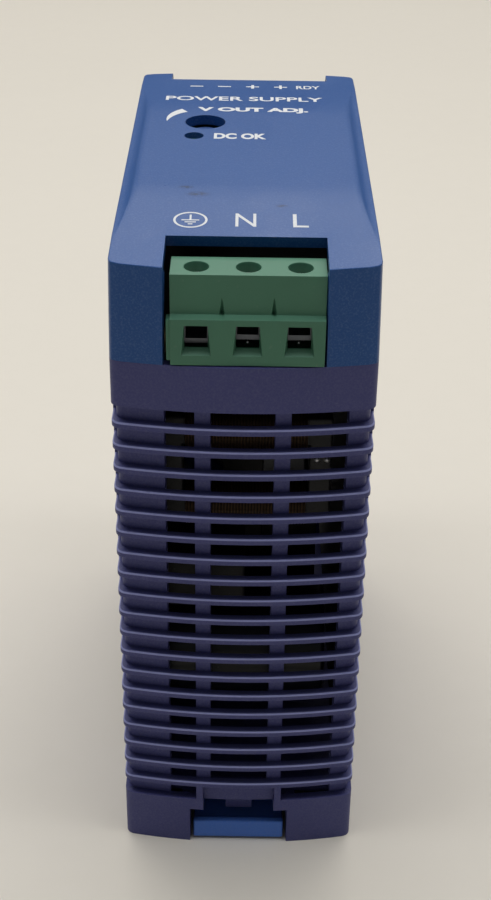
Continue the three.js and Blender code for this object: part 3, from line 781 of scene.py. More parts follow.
class LouvredCase(bpy.types.Operator):
    """The open-topped case with fins on both ends, the rail channel and the feet"""

    bl_idname = "supply.louvred_case"
    bl_label = "Louvred Case"

    def execute(self, context):
        sizes = Millimetres(context.scene.case_settings)
        bm = bmesh.new()
        self.add_shell(bm, sizes)
        for end in (-1, 1):
            self.add_bars(bm, sizes, end)
            self.add_fins(bm, sizes, end)
        self.add_base(bm, sizes)
        # Where the painted highlight bands lie on the fins.
        lips = (sizes.first_fin_top - 0.02, sizes.fin_pitch, sizes.fin_count, sizes.fin_lip,
                sizes.louvre_side - 0.2)
        material = moulded_plastic("case plastic", tuple(context.scene.case_settings.shade), 0.44, lips=lips)
        piece(bm, "louvred_case", "root", material, ["case_body"])
        return {"FINISHED"}

    def add_shell(self, bm, sizes):
        """The outer walls, open at the louvres, the rail channel and the clip bay."""
        plan = Plan()
        bay = BAY_HALF_WIDTH
        notch = NOTCH_HALF_WIDTH
        channel = CHANNEL_HALF_WIDTH
        side = [channel, sizes.louvre_side]
        stops = (bay, -bay, notch, -notch)
        back = plan.end(sizes.louvre_side, stops)
        front = turned_round(back)
        outline = [(plan.half, -side[0]), (plan.half, side[0])] + back
        outline += [(-plan.half, side[0]), (-plan.half, -side[0])] + front
        outline.append(outline[0])
        levels = [0, RAIL_SEAT, BAY_TOP, sizes.foot_top, sizes.louvre_top, SEAM]

        def place(column, row):
            return (*outline[column], levels[row])

        faces = skin(bm, len(outline), len(levels), place, closed=True)

        def open_here(centre):
            x, y, z = centre
            louvres = sizes.foot_top < z < sizes.louvre_top and abs(y) > sizes.louvre_side
            rail = z < RAIL_SEAT and abs(y) < channel
            clip = y < -channel and (
                (abs(x) < bay and z < BAY_TOP) or (abs(x) < notch and z < sizes.foot_top))
            return louvres or rail or clip

        faces = delete_where(bm, faces, open_here)
        faces = thicken(bm, faces, sizes.wall)
        round_off(bm, hard_edges(faces), sizes.edge)

    def add_bars(self, bm, sizes, end):
        """The recessed wall behind the fins, left standing as bars between the slots."""
        plan = Plan(sizes.side_depth, sizes.fin_depth)
        stops = [x for column in SLOT_COLUMNS for x in column]
        notch = NOTCH_HALF_WIDTH
        if end < 0:
            stops += [-notch, notch]
        outline = at_end(plan.end(sizes.louvre_side - 0.6, tuple(stops)), end)
        first_gap_top = sizes.first_fin_top - sizes.fin_height
        levels = [NOTCH_WALL_BOTTOM, sizes.foot_top - 0.5, first_gap_top + 0.3, sizes.louvre_top + 0.5]

        def place(column, row):
            return (*outline[column], levels[row])

        faces = skin(bm, len(outline), len(levels), place)

        def open_here(centre):
            x, y, z = centre
            if z < levels[1]:
                return end > 0 or abs(x) > notch
            in_slot = [low < x < high for low, high in SLOT_COLUMNS]
            if end < 0 and z < levels[2]:
                return in_slot[0] or in_slot[2]
            return any(in_slot)

        faces = delete_where(bm, faces, open_here)
        faces = thicken(bm, faces, sizes.fin_depth)
        round_off(bm, hard_edges(faces), 0.12)

    def add_fins(self, bm, sizes, end):
        """The fins, each a band round the end with rounded outer edges."""
        outer = at_end(Plan().end(sizes.louvre_side - 0.4), end)
        inner_plan = Plan(sizes.side_depth + 0.25, sizes.fin_depth)
        inner = at_end(inner_plan.end(sizes.louvre_side - 0.4), end)
        for index in range(sizes.fin_count):
            top = sizes.first_fin_top + index * sizes.fin_pitch
            self.add_band(bm, outer, inner, (top - sizes.fin_height, top), sizes.edge, sizes.fin_lip)
        if end < 0:
            low, high = sizes.foot_top - 0.3, sizes.first_fin_top - sizes.fin_height + 0.3
            for side in (-1, 1):
                y = Plan().y_at(6.9)
                bar(bm, on_side(side, 6.3, 7.5), (-y, -y + sizes.fin_depth + 0.4), (low, high), 0.15)

    def add_band(self, bm, outer, inner, z, radius, lip_size):
        """A band between two outlines in plan, with its outer edges rounded, the upper one more."""
        sunk = 0.05
        (first_x, first_y), (last_x, last_y) = outer[0], outer[-1]
        outer = [(first_x - math.copysign(sunk, first_x), first_y)] + outer[1:-1]
        outer.append((last_x - math.copysign(sunk, last_x), last_y))
        profile = [(outer, z[0]), (outer, z[1]), (inner, z[1]), (inner, z[0]), (outer, z[0])]

        def place(column, row):
            points, level = profile[row]
            return (*points[column], level)

        faces = skin(bm, len(outer), len(profile), place)
        verts = unique(vert for face in faces for vert in face.verts)
        bmesh.ops.remove_doubles(bm, verts=verts, dist=WELD)
        faces = [face for face in faces if face.is_valid]
        ends = unique(edge for face in faces for edge in face.edges if edge.is_boundary)
        faces += bmesh.ops.holes_fill(bm, edges=ends, sides=0)["faces"]
        outline = set(outer)
        rim = [edge for edge in hard_edges(faces) if all(
            any(abs(vert.co.x - x) + abs(vert.co.y - y) < 1e-3 for x, y in outline) for vert in edge.verts)]
        lip = [edge for edge in rim if all(vert.co.z > z[1] - NEAR for vert in edge.verts)]
        round_off(bm, lip, lip_size)
        round_off(bm, [edge for edge in rim if edge.is_valid and edge not in lip], radius)

    def add_base(self, bm, sizes):
        """The floor, the walls of the hollow feet, the clip bay and the rail hooks."""
        inside = HALF_WIDTH - sizes.wall + 0.1
        reach = HALF_LENGTH - 4.0
        channel = CHANNEL_HALF_WIDTH
        bay = BAY_HALF_WIDTH
        notch = NOTCH_HALF_WIDTH
        rib = 1.4
        bar(bm, (-inside, inside), (-channel - rib, channel + rib), (RAIL_SEAT + 0.1, RAIL_SEAT + 2), 0)
        bar(bm, (-inside, inside), RAIL_FLAT, (RAIL_SEAT, RAIL_SEAT + 0.5), 0)
        bar(bm, (-inside, inside), (-reach, -channel + 1.6), (9.1, 10.1), 0)
        bar(bm, (-inside, inside), (channel, reach), (6.0, 7.6), 0)
        for side in (-1, 1):
            bar(bm, on_side(side, bay, bay + rib), (-reach - 1, -channel), (0, BAY_TOP + 0.5), 0.15)
            bar(bm, on_side(side, notch, bay + rib), (-reach - 1, -channel), (BAY_TOP, 9.4), 0.15)
            bar(bm, on_side(side, bay + 0.2, inside), (-channel - rib, -channel), (0, 9.4), 0.15)
            bar(bm, on_side(side, 5.4, 7.0), (channel + 1, reach), (0, 6.6), 0.15)
            self.add_hook(bm, on_side(side, 5.4, 17.4))
        bar(bm, (-inside, inside), (channel + 0.4, channel + 1.8), (0, 6.6), 0.15)
        bar(bm, (-2.4, 2.4), (-41, -39.4), (4.7, 9.3), 0.15)

    def add_hook(self, bm, x):
        """A hook that reaches behind the rail's upper edge."""
        outline = [(14.9, 2.2), (16.4, 0.8), (18.9, 0.8), (18.9, 4.0), (14.9, 4.0)]
        add_prism(bm, outline, x, 0.15)


def add_prism(bm, outline, x, radius, segments=2):
    """An outline in Y and Z, drawn out along X, with rounded edges."""
    verts = [bm.verts.new((x[0], y, z)) for y, z in outline]
    start = bm.faces.new(verts)
    made = bmesh.ops.extrude_face_region(bm, geom=[start])["geom"]
    moved = [item for item in made if isinstance(item, bmesh.types.BMVert)]
    bmesh.ops.translate(bm, vec=(x[1] - x[0], 0, 0), verts=moved)
    island = grown(verts)
    faces = unique(face for vert in island for face in vert.link_faces)
    bmesh.ops.recalc_face_normals(bm, faces=faces)
    if radius:
        round_off(bm, hard_edges(faces, 25), radius, segments)


class FrontCover(bpy.types.Operator):
    """The blue cover with its sloping panel, scooped shoulders, open terminal bays and holes"""

    bl_idname = "supply.front_cover"
    bl_label = "Front Cover"

    def execute(self, context):
        sizes = Millimetres(context.scene.cover_settings)
        bm = bmesh.new()
        faces = self.add_panel(bm, sizes)
        faces = self.add_sides(bm, faces, sizes)
        self.cut_holes(bm)
        faces = thicken(bm, list(bm.faces), sizes.wall)
        rim = [edge for edge in hard_edges(faces, 50) if self.on_outer_rim(edge)]
        round_off(bm, rim, sizes.edge, 3)
        round_off(bm, hard_edges(bm.faces, 70), 0.12, 2)
        material = cover_plastic(tuple(context.scene.cover_settings.shade))
        piece(bm, "cover_shell", "root", material, ["front_cover"])
        return {"FINISHED"}

    def on_outer_rim(self, edge):
        """Whether an edge runs round the outside of the panel, and not along a terminal bay."""
        start, end = (vert.co for vert in edge.verts)
        middle = (start + end) / 2
        at_top = all(abs(corner.z - panel_z(corner.x, corner.y)) < 0.05 for corner in (start, end))
        across = abs(start.x - end.x) > abs(start.y - end.y)
        return at_top and (abs(middle.x) > 18 or (abs(middle.y) > 42 and across))

    def add_panel(self, bm, sizes):
        """The front panel as a grid, with the terminal bays taken out."""
        plan = Plan(HALF_WIDTH - sizes.top_half_width, 0)
        shoulder = [1, 0.7, 0.45, 0.22, 0]
        fixed = [-14.5, INPUT_OPENING[0], -6.3, -2.8, 2, 7, INPUT_OPENING[1], OUTPUT_OPENING[1]]
        rows = [-45, -42.5, -39.5, -37, -34.5, -31, -27, -24, -22, -20, -18, -16, -8, 0, 2.5, 8, 16,
                18, 20, 22, 24, 27, 31, 35, 39.5, 42.5, 45]
        blends = [0.75, 0.4]
        columns = [("shoulder", -1, share) for share in shoulder]
        columns += [("blend", -1, share) for share in blends]
        columns += [("fixed", x, 0) for x in fixed]
        columns += [("blend", 1, share) for share in reversed(blends)]
        columns += [("shoulder", 1, share) for share in reversed(shoulder)]

        def x_at(kind, side, share, y):
            crease = crease_x(y, sizes)
            if kind == "fixed":
                return side
            if kind == "shoulder":
                return side * (crease + (sizes.top_half_width - crease) * share)
            inner = abs(fixed[0]) if side < 0 else fixed[-1]
            return side * (inner + (crease - inner) * share)

        def place(column, row):
            y = rows[row]
            x = x_at(*columns[column], y)
            end_y = plan.y_at(x)
            last = abs(rows[-3])
            if abs(y) > last:
                share = (abs(y) - last) / (rows[-1] - last)
                y = math.copysign(last + (end_y - last) * share, y)
            return (x, y, panel_z(x, y))

        faces = skin(bm, len(columns), len(rows), place)

        def open_here(centre):
            x, y, z = centre
            low, high, back = INPUT_OPENING
            if low < x < high and y < back:
                return True
            low, high, back = OUTPUT_OPENING
            return low < x < high and y > back

        return delete_where(bm, faces, open_here)

    def add_sides(self, bm, faces, sizes):
        """Draws the outer edge of the panel down to the seam, with a slight draft."""
        draft = HALF_WIDTH / sizes.top_half_width

        def outside(edge):
            middle = (edge.verts[0].co + edge.verts[1].co) / 2
            opening = INPUT_OPENING if middle.y < 0 else OUTPUT_OPENING
            return middle.y == 0 or not in_limits(middle.x, opening)

        rim = [edge for face in faces for edge in face.edges if edge.is_boundary and outside(edge)]
        widened = 1
        for level in (SEAM + 8, SEAM):
            verts, rim = drawn_out(bm, rim)
            width = 1 + (draft - 1) * (TOP - level) / (TOP - SEAM)
            for vert in verts:
                vert.co.z = level
                vert.co.x *= width / widened
            widened = width
        face_outwards(bm)
        return list(bm.faces)

    def cut_holes(self, bm):
        """Round holes for the trimmer and the lamp."""
        trimmer = hole_centre("trimmer_rotor")
        lamp = hole_centre("status_lamp")
        side = INPUT_OPENING[0]
        for centre, radius, x, y in ((trimmer, 3.5, (side, -2.8), (8, 16)), (lamp, 1.65, (side, -6.3), (2.5, 8))):
            cell = [face for face in bm.faces if inside_cell(face, x, y)]
            bmesh.ops.delete(bm, geom=cell, context="FACES")
            loop = [edge for edge in bm.edges if edge.is_boundary and edge_in_cell(edge, x, y)]
            pierce(bm, loop, (centre.x, centre.y, panel_z(0, 0)), radius, 32)
        face_outwards(bm)


def face_outwards(bm):
    """Turns an open cap's faces upwards and outwards."""
    bmesh.ops.recalc_face_normals(bm, faces=bm.faces)
    if sum(face.normal.z * face.calc_area() for face in bm.faces) < 0:
        bmesh.ops.reverse_faces(bm, faces=bm.faces)


def hole_centre(node):
    """The centre of the hole that shows a CAD node."""
    low, high = cad_box(node)
    return (low + high) / 2


def inside_cell(face, x, y):
    """Whether a face of the panel lies in a cell given by its limits."""
    centre = face.calc_center_median()
    return in_limits(centre.x, x, 0) and in_limits(centre.y, y, 0) and centre.z > TOP - 2


def edge_in_cell(edge, x, y):
    """Whether an edge of the panel lies in a cell or on its border."""
    return all(in_limits(v.co.x, x) and in_limits(v.co.y, y) and v.co.z > TOP - 2 for v in edge.verts)


class PrintedMarks(bpy.types.Operator):
    """White printed marks on the front panel: plain words, terminal marks and the trimmer's arc"""

    bl_idname = "supply.printed_marks"
    bl_label = "Printed Marks"

    # Each word with its limits in X and Y and the weight that is added to its strokes.
    words = (
        ("V OUT ADJ.", (-8.9, 10.7), (17.4, 20.3), 0.05),
        ("DC OK", (-5.7, 3.2), (4.1, 6.8), 0.045),
        ("POWER SUPPLY", (-14.9, 13.5), (24.6, 27.4), 0.02),
        ("N", (-1.6, 1.55), (-31.3, -27.0), 0.0),
        ("L", (7.1, 9.45), (-31.3, -27.0), 0.0),
        ("RDY", (8.9, 13.3), (33.4, 35.6), 0.02))

    def execute(self, context):
        bm = bmesh.new()
        for words, x, y, weight in self.words:
            self.add_word(bm, words, x, y, weight)
        for x in (-9.6, -4.45):
            self.add_bar(bm, (x - 1.2, x + 1.2), (34.3, 34.8))
        for x in (0.8, 6.0):
            self.add_bar(bm, (x - 1.2, x + 1.2), (34.3, 34.8))
            self.add_bar(bm, (x - 0.25, x + 0.25), (33.3, 34.3))
            self.add_bar(bm, (x - 0.25, x + 0.25), (34.8, 35.8))
        self.add_earth(bm, (-8.4, -29.3))
        self.add_arc(bm)
        self.lay_on_panel(bm)
        ink = tuple(context.scene.cover_settings.ink)
        f = Finish("printed ink", Roughness=0.6, IOR=1.45)
        worn = f.noise(0.5, detail=4)
        f.put("Base Color", f.blend(worn, tint(ink, 0.84), tint(ink, 1.1)))
        f.put("Roughness", 0.55 + worn * 0.15)
        piece(bm, "printed_marks", "root", f.material)
        return {"FINISHED"}

    def add_word(self, bm, words, x, y, weight):
        """Plain sans lettering stretched between limits."""
        curve = bpy.data.curves.new("word", "FONT")
        curve.body = words
        curve.offset = weight
        curve.resolution_u = 6
        curve.fill_mode = "FRONT"
        holder = bpy.data.objects.new("word", curve)
        put_in_scene(holder)
        bpy.context.view_layer.update()
        mesh = bpy.data.meshes.new_from_object(holder.evaluated_get(bpy.context.evaluated_depsgraph_get()))
        before = set(bm.verts)
        bm.from_mesh(mesh)
        verts = [vert for vert in bm.verts if vert not in before]
        low = [min(v.co[axis] for v in verts) for axis in (0, 1)]
        high = [max(v.co[axis] for v in verts) for axis in (0, 1)]
        for vert in verts:
            for axis, limits in enumerate((x, y)):
                share = (vert.co[axis] - low[axis]) / (high[axis] - low[axis])
                vert.co[axis] = limits[0] + (limits[1] - limits[0]) * share
        bpy.data.objects.remove(holder)
        bpy.data.curves.remove(curve)
        bpy.data.meshes.remove(mesh)

    def add_bar(self, bm, x, y):
        """A flat bar between limits."""
        skin(bm, 2, 2, lambda column, row: (x[column], y[row], 0))

    def add_ring(self, bm, centre, radius, line):
        """A flat ring round a centre, as wide as the line."""
        def place(column, row):
            angle = 2 * math.pi * column / 40
            reach = radius + (row - 0.5) * line
            return (centre[0] + reach * math.cos(angle), centre[1] + reach * math.sin(angle), 0)

        skin(bm, 41, 2, place, closed=True)

    def add_earth(self, bm, centre):
        """The earth mark: a stem over three shortening bars, in a ring."""
        x, y = centre
        self.add_ring(bm, centre, 2.42, 0.36)
        self.add_bar(bm, (x - 0.15, x + 0.15), (y + 0.1, y + 1.7))
        for half, drop in ((1.35, 0.1), (0.85, -0.55), (0.35, -1.2)):
            self.add_bar(bm, (x - half, x + half), (y + drop - 0.3, y + drop))

    def add_arc(self, bm):
        """The tapered arc beside the trimmer."""
        centre = hole_centre("trimmer_rotor")

        def place(column, row):
            share = column / 16
            angle = math.radians(178 - 55 * share)
            reach = 6.7 + 0.3 * share + (row - 0.5) * 1.9 * share ** 0.8
            return (centre.x + reach * math.cos(angle), centre.y + reach * math.sin(angle), 0)

        skin(bm, 17, 2, place)

    def lay_on_panel(self, bm):
        """Lays the flat marks on the panel and gives the ink its thickness."""
        bmesh.ops.recalc_face_normals(bm, faces=bm.faces)
        down = [face for face in bm.faces if face.normal.z < 0]
        bmesh.ops.reverse_faces(bm, faces=down)
        for vert in bm.verts:
            vert.co.z = panel_z(vert.co.x, vert.co.y) + INK_RISE
        bm.normal_update()
        bmesh.ops.solidify(bm, geom=list(bm.faces), thickness=0.06)


class RailClip(bpy.types.Operator):
    """The blue rail clip and the spring that returns it"""

    bl_idname = "supply.rail_clip"
    bl_label = "Rail Clip"

    def execute(self, context):
        sizes = Millimetres(context.scene.clip_settings)
        material = moulded_plastic("clip plastic", tuple(context.scene.clip_settings.shade), 0.42, depth=0.006)
        low, high = cad_box("rail_clip")
        bm = bmesh.new()
        top = 4.3
        outline = [
            (low.y, low.z), (high.y - 3, low.z), (high.y, 2.9), (high.y, top), (low.y + 12.5, top),
            (low.y + 11.8, 2.4), (low.y + 1.7, 2.4), (low.y + 1.2, top), (low.y, top)]
        add_prism(bm, outline, (-8.05, 8.05), sizes.edge, 3)
        for side in (-1, 1):
            bar(bm, on_side(side, 7.5, 9.6), (-36, -22), (2.0, 3.5), 0.2)
        bar(bm, (-2.4, 2.4), (-31.4, -29.6), (top - 0.5, high.z), 0.25)
        piece(bm, "rail_clip_slider", "rail_clip", material, ["rail_clip"])
        self.add_spring(sizes)
        return {"FINISHED"}

    def add_spring(self, sizes):
        """A coil spring with closed ends, leaning on the stop in the bay."""
        low, high = cad_box("rail_clip_spring")
        centre = (low + high) / 2
        radius = (high.x - low.x - sizes.wire) / 2
        steps = 24 * sizes.turns
        ring = 8
        span = high.y - low.y - sizes.wire

        def place(column, row):
            share = row / steps
            angle = 2 * math.pi * sizes.turns * share
            rise = min(1, max(0, (share * sizes.turns - 0.9) / (sizes.turns - 1.8)))
            turn = 2 * math.pi * column / ring
            reach = radius + sizes.wire / 2 * math.cos(turn)
            along = low.y + sizes.wire / 2 + span * rise + sizes.wire / 2 * math.sin(turn)
            return (centre.x + reach * math.cos(angle), along, centre.z + reach * math.sin(angle))

        bm = bmesh.new()
        skin(bm, ring + 1, steps + 1, place, closed=True)
        bmesh.ops.holes_fill(bm, edges=[edge for edge in bm.edges if edge.is_boundary], sides=ring)
        metal = plated_metal("spring wire", (0.55, 0.55, 0.56), 0.3)
        spring = piece(bm, "clip_spring", "root", metal, ["rail_clip_spring"])
        keep = 1 - CLIP_TRAVEL / (high.y - low.y)
        low.y * MM
        centre.z * MM
        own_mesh(spring)


class TerminalBlocks(bpy.types.Operator):
    """The green input and output blocks, with their screws, cages and contacts"""

    bl_idname = "supply.terminal_blocks"
    bl_label = "Terminal Blocks"

    def execute(self, context):
        settings = context.scene.terminal_settings
        sizes = Millimetres(settings)
        green = smooth_plastic("terminal plastic", tuple(settings.shade), 0.42)
        steel = plated_metal("screw plating", (0.70, 0.70, 0.68), 0.28)
        # The cages and contacts are painted dark grey, as painted shade inside the window chambers.
        shaded_cage_plating = plated_metal("cage plating", (0.15, 0.16, 0.18), 0.5)
        self.add_block(sizes, green, "input", 3, -1, ledge=105.2, step=1.1, window=(1.75, 99.3, 100.2, 104.2))
        self.add_block(sizes, green, "output", 5, 1, ledge=104.3, step=0.9, window=(1.5, 99.2, 99.9, 103.1))
        self.add_pins(steel)
        for prefix, count in (("input", 3), ("output", 5)):
            for number in range(1, count + 1):
                self.add_screw(f"{prefix}_screw_{number}", steel)
                dress(shaded_cage_plating, f"{prefix}_clamp_{number}", f"{prefix}_contact_{number}")
        return {"FINISHED"}

    def add_block(self, sizes, material, prefix, poles, out, ledge, step, window):
        """One moulded block: its skin is a side outline drawn out along X, with windows and holes let in."""
        low, high = cad_box(prefix + "_terminal_housing")
        half_window, sill, window_low, window_high = window
        front = low.y if out < 0 else high.y
        back = high.y if out < 0 else low.y
        upper = front - out * step
        screw = hole_centre(f"{prefix}_screw_1")
        head = cad_box(f"{prefix}_screw_1")
        hole = (head[1].x - head[0].x) / 2 + 0.3
        cell = hole + 0.45
        pitch = (high.x - low.x) / poles
        middles = [low.x + pitch * (index + 0.5) for index in range(poles)]
        outline = [
            (front, low.z), (front, sill), (front, window_high), (front, ledge),
            (upper, ledge + 0.4), (upper, ledge + 0.7), (upper, ledge + 3.2), (upper, high.z),
            (screw.y + out * cell, high.z), (screw.y - out * cell, high.z),
            (back + out * 0.6, high.z), (back, high.z - 5), (back, low.z), (front, low.z)]
        stations = [low.x]
        for index, x in enumerate(middles):
            inner = sorted({half_window, cell})
            stations += [x - reach for reach in reversed(inner)] + [x] + [x + reach for reach in inner]
            if index < poles - 1:
                border = x + pitch / 2
                stations += [border - 0.4, border, border + 0.4]
        stations.append(high.x)
        borders = [x + pitch / 2 for x in middles[:-1]]

        def place(column, row):
            x = stations[column]
            y, z = outline[row]
            near = min(borders, key=lambda border: abs(border - x))
            if row in (4, 5) and abs(x - near) < NEAR:
                y -= out * 0.9
            if row >= 6 and NEAR < abs(x - near) < 0.5:
                x = near + math.copysign(0.04, x - near)
            return (x, y, z)

        bm = bmesh.new()
        faces = skin(bm, len(stations), len(outline), place)
        bmesh.ops.remove_doubles(bm, verts=bm.verts, dist=WELD)
        caps = [edge for edge in bm.edges if edge.is_boundary]
        bmesh.ops.holes_fill(bm, edges=caps, sides=0)
        bmesh.ops.recalc_face_normals(bm, faces=bm.faces)
        keep = hard_edges(bm.faces, 70)
        for x in middles:
            self.let_in_window(bm, x, half_window, (sill, window_low, window_high), front, out, sizes, pitch)
            self.let_in_hole(bm, (x, screw.y), hole, cell, high.z, head[0].z)
        keep = [edge for edge in keep if edge.is_valid]
        round_off(bm, keep, sizes.edge)
        if prefix == "input":
            bar(bm, (low.x - 0.6, low.x + 0.3), (front + 0.3, front + 2.4), (low.z + 0.6, ledge - 0.2), 0.15)
        piece(bm, prefix + "_block", "root", material, [prefix + "_terminal_housing"], 30)

    def let_in_window(self, bm, x, half, levels, front, out, sizes, pitch):
        """A wire window: a bevelled sill, then a chamber for the cage behind it."""
        sill, low, high = levels
        cell = [face for face in bm.faces if abs(face.calc_center_median().y - front) < NEAR
                and abs(face.calc_center_median().x - x) < half
                and sill < face.calc_center_median().z < high]
        flare = [vert for face in cell for vert in face.verts if abs(vert.co.z - sill) < NEAR]
        for vert in flare:
            if abs(vert.co.x - x) > NEAR:
                vert.co.x = x + math.copysign(half + 0.45, vert.co.x - x)
        chamber = (pitch * 0.33, low - 1.9, high + 4.4)
        steps = [(sizes.window_reach, half, low, high), (sizes.window_reach + 0.01, *chamber), (7.0, *chamber)]
        for depth, reach, bottom, top in steps:
            made = bmesh.ops.extrude_face_region(bm, geom=cell)["geom"]
            bmesh.ops.delete(bm, geom=cell, context="FACES")
            cell = [item for item in made if isinstance(item, bmesh.types.BMFace)]
            verts = unique(vert for face in cell for vert in face.verts)
            lowest = min(vert.co.z for vert in verts)
            for vert in verts:
                side = 0 if abs(vert.co.x - x) < NEAR else math.copysign(1, vert.co.x - x)
                vert.co.x = x + side * reach
                vert.co.y = front - out * depth
                vert.co.z = bottom if vert.co.z < lowest + NEAR else top

    def let_in_hole(self, bm, centre, radius, cell, top, bottom):
        """A round screw hole in the top face."""
        x, y = centre
        faces = [face for face in bm.faces if abs(face.calc_center_median().z - top) < NEAR
                 and abs(face.calc_center_median().x - x) < cell
                 and abs(face.calc_center_median().y - y) < cell]
        border = unique(edge for face in faces for edge in face.edges)
        border = [edge for edge in border if sum(face in faces for face in edge.link_faces) == 1]
        bmesh.ops.delete(bm, geom=faces, context="FACES")
        border = [edge for edge in border if edge.is_valid]
        around = pierce(bm, border, (x, y, top), radius, 24)
        for level, reach in ((top - 0.25, radius - 0.12), (bottom - 0.1, radius - 0.12)):
            verts, around = drawn_out(bm, around)
            for vert in verts:
                direction = Vector((vert.co.x - x, vert.co.y - y)).normalized()
                vert.co = (x + direction.x * reach, y + direction.y * reach, level)
        bmesh.ops.contextual_create(bm, geom=around)

    def add_pins(self, material):
        """Bright rivet heads on short stems, hung under the cages of the second and third input poles."""
        profile = [(0, 0), (0.2, -0.05), (0.36, -0.2), (0.4, -0.4), (0.4, -1.4), (0, -1.4)]
        for cage in ("input_clamp_2", "input_clamp_3"):
            bm = bmesh.new()
            low, high = cad_box(cage)
            middle = (low.x + high.x) / 2
            turned(bm, profile, (middle, low.y + 0.6, low.z - 0.95), axis="Y", steps=16)
            bar(bm, (middle - 0.2, middle + 0.2), (low.y + 1.2, low.y + 1.7), (low.z - 0.9, low.z + 0.1), 0.05)
            piece(bm, cage + "_rivet", cage, material)

    def add_screw(self, node, material):
        """A clamp screw with a rounded head and a slot."""
        low, high, centre, radius = round_node(node)
        head = 1.35
        neck = radius * 0.58
        bm = bmesh.new()
        bottom = low.z - high.z
        profile = [(0, 0), (radius * 0.8, -0.04), (radius - 0.1, -0.12), (radius, -0.3), (radius, -head),
                   (neck, -head), (neck, bottom + 0.3), (neck - 0.25, bottom), (0, bottom)]
        turned(bm, profile, (centre.x, centre.y, high.z))
        sink_slot(bm, centre.y, half=0.3, floor=high.z - 0.65, rim=high.z - 0.2, facing=0.3)
        piece(bm, node + "_turned", node, material, [node])


class Controls(bpy.types.Operator):
    """The trimmer and the status lamp behind the front panel"""

    bl_idname = "supply.controls"
    bl_label = "Trimmer and Lamp"

    def execute(self, context):
        settings = context.scene.control_settings
        sizes = Millimetres(settings)
        blue = smooth_plastic("trimmer plastic", tuple(settings.rotor_shade), 0.4)
        self.add_rotor(sizes, blue)
        softened("trimmer_base", "root", blue, "trimmer_body", 0.3)
        self.add_lamp(settings)
        return {"FINISHED"}

    def add_rotor(self, sizes, material):
        """The trimmer's turning part, with a broad slot across its head."""
        low, high, centre, radius = round_node("trimmer_rotor")
        rise = high.z - low.z
        profile = [(0, 0), (radius - 0.9, 0), (radius - 0.35, -0.12), (radius, -0.5), (radius, -rise), (0, -rise)]
        bm = bmesh.new()
        turned(bm, profile, (centre.x, centre.y, high.z), steps=40)
        sink_slot(bm, centre.y, half=sizes.rotor_slot / 2, floor=high.z - 1.1, rim=high.z - 0.6, facing=0.2)
        piece(bm, "trimmer_spindle", "trimmer_rotor", material, ["trimmer_rotor"])

    def add_lamp(self, settings):
        """The domed status lamp and the sleeve that it stands in."""
        low, high, centre, radius = round_node("status_lamp")
        straight = high.z - low.z - radius
        profile = [(radius * math.sin(math.radians(angle)), radius * math.cos(math.radians(angle)) - radius)
                   for angle in range(0, 91, 9)]
        profile += [(radius, -radius - straight), (0, -radius - straight)]
        bm = bmesh.new()
        turned(bm, profile, (centre.x, centre.y, high.z), steps=32)
        piece(bm, "lamp_dome", "root", lamp_lens(tuple(settings.lamp_shade)), ["status_lamp"])
        sleeve = smooth_plastic("lamp sleeve", (0.02, 0.02, 0.025), 0.4)
        softened("lamp_tube", "root", sleeve, "lamp_sleeve", 0.2)


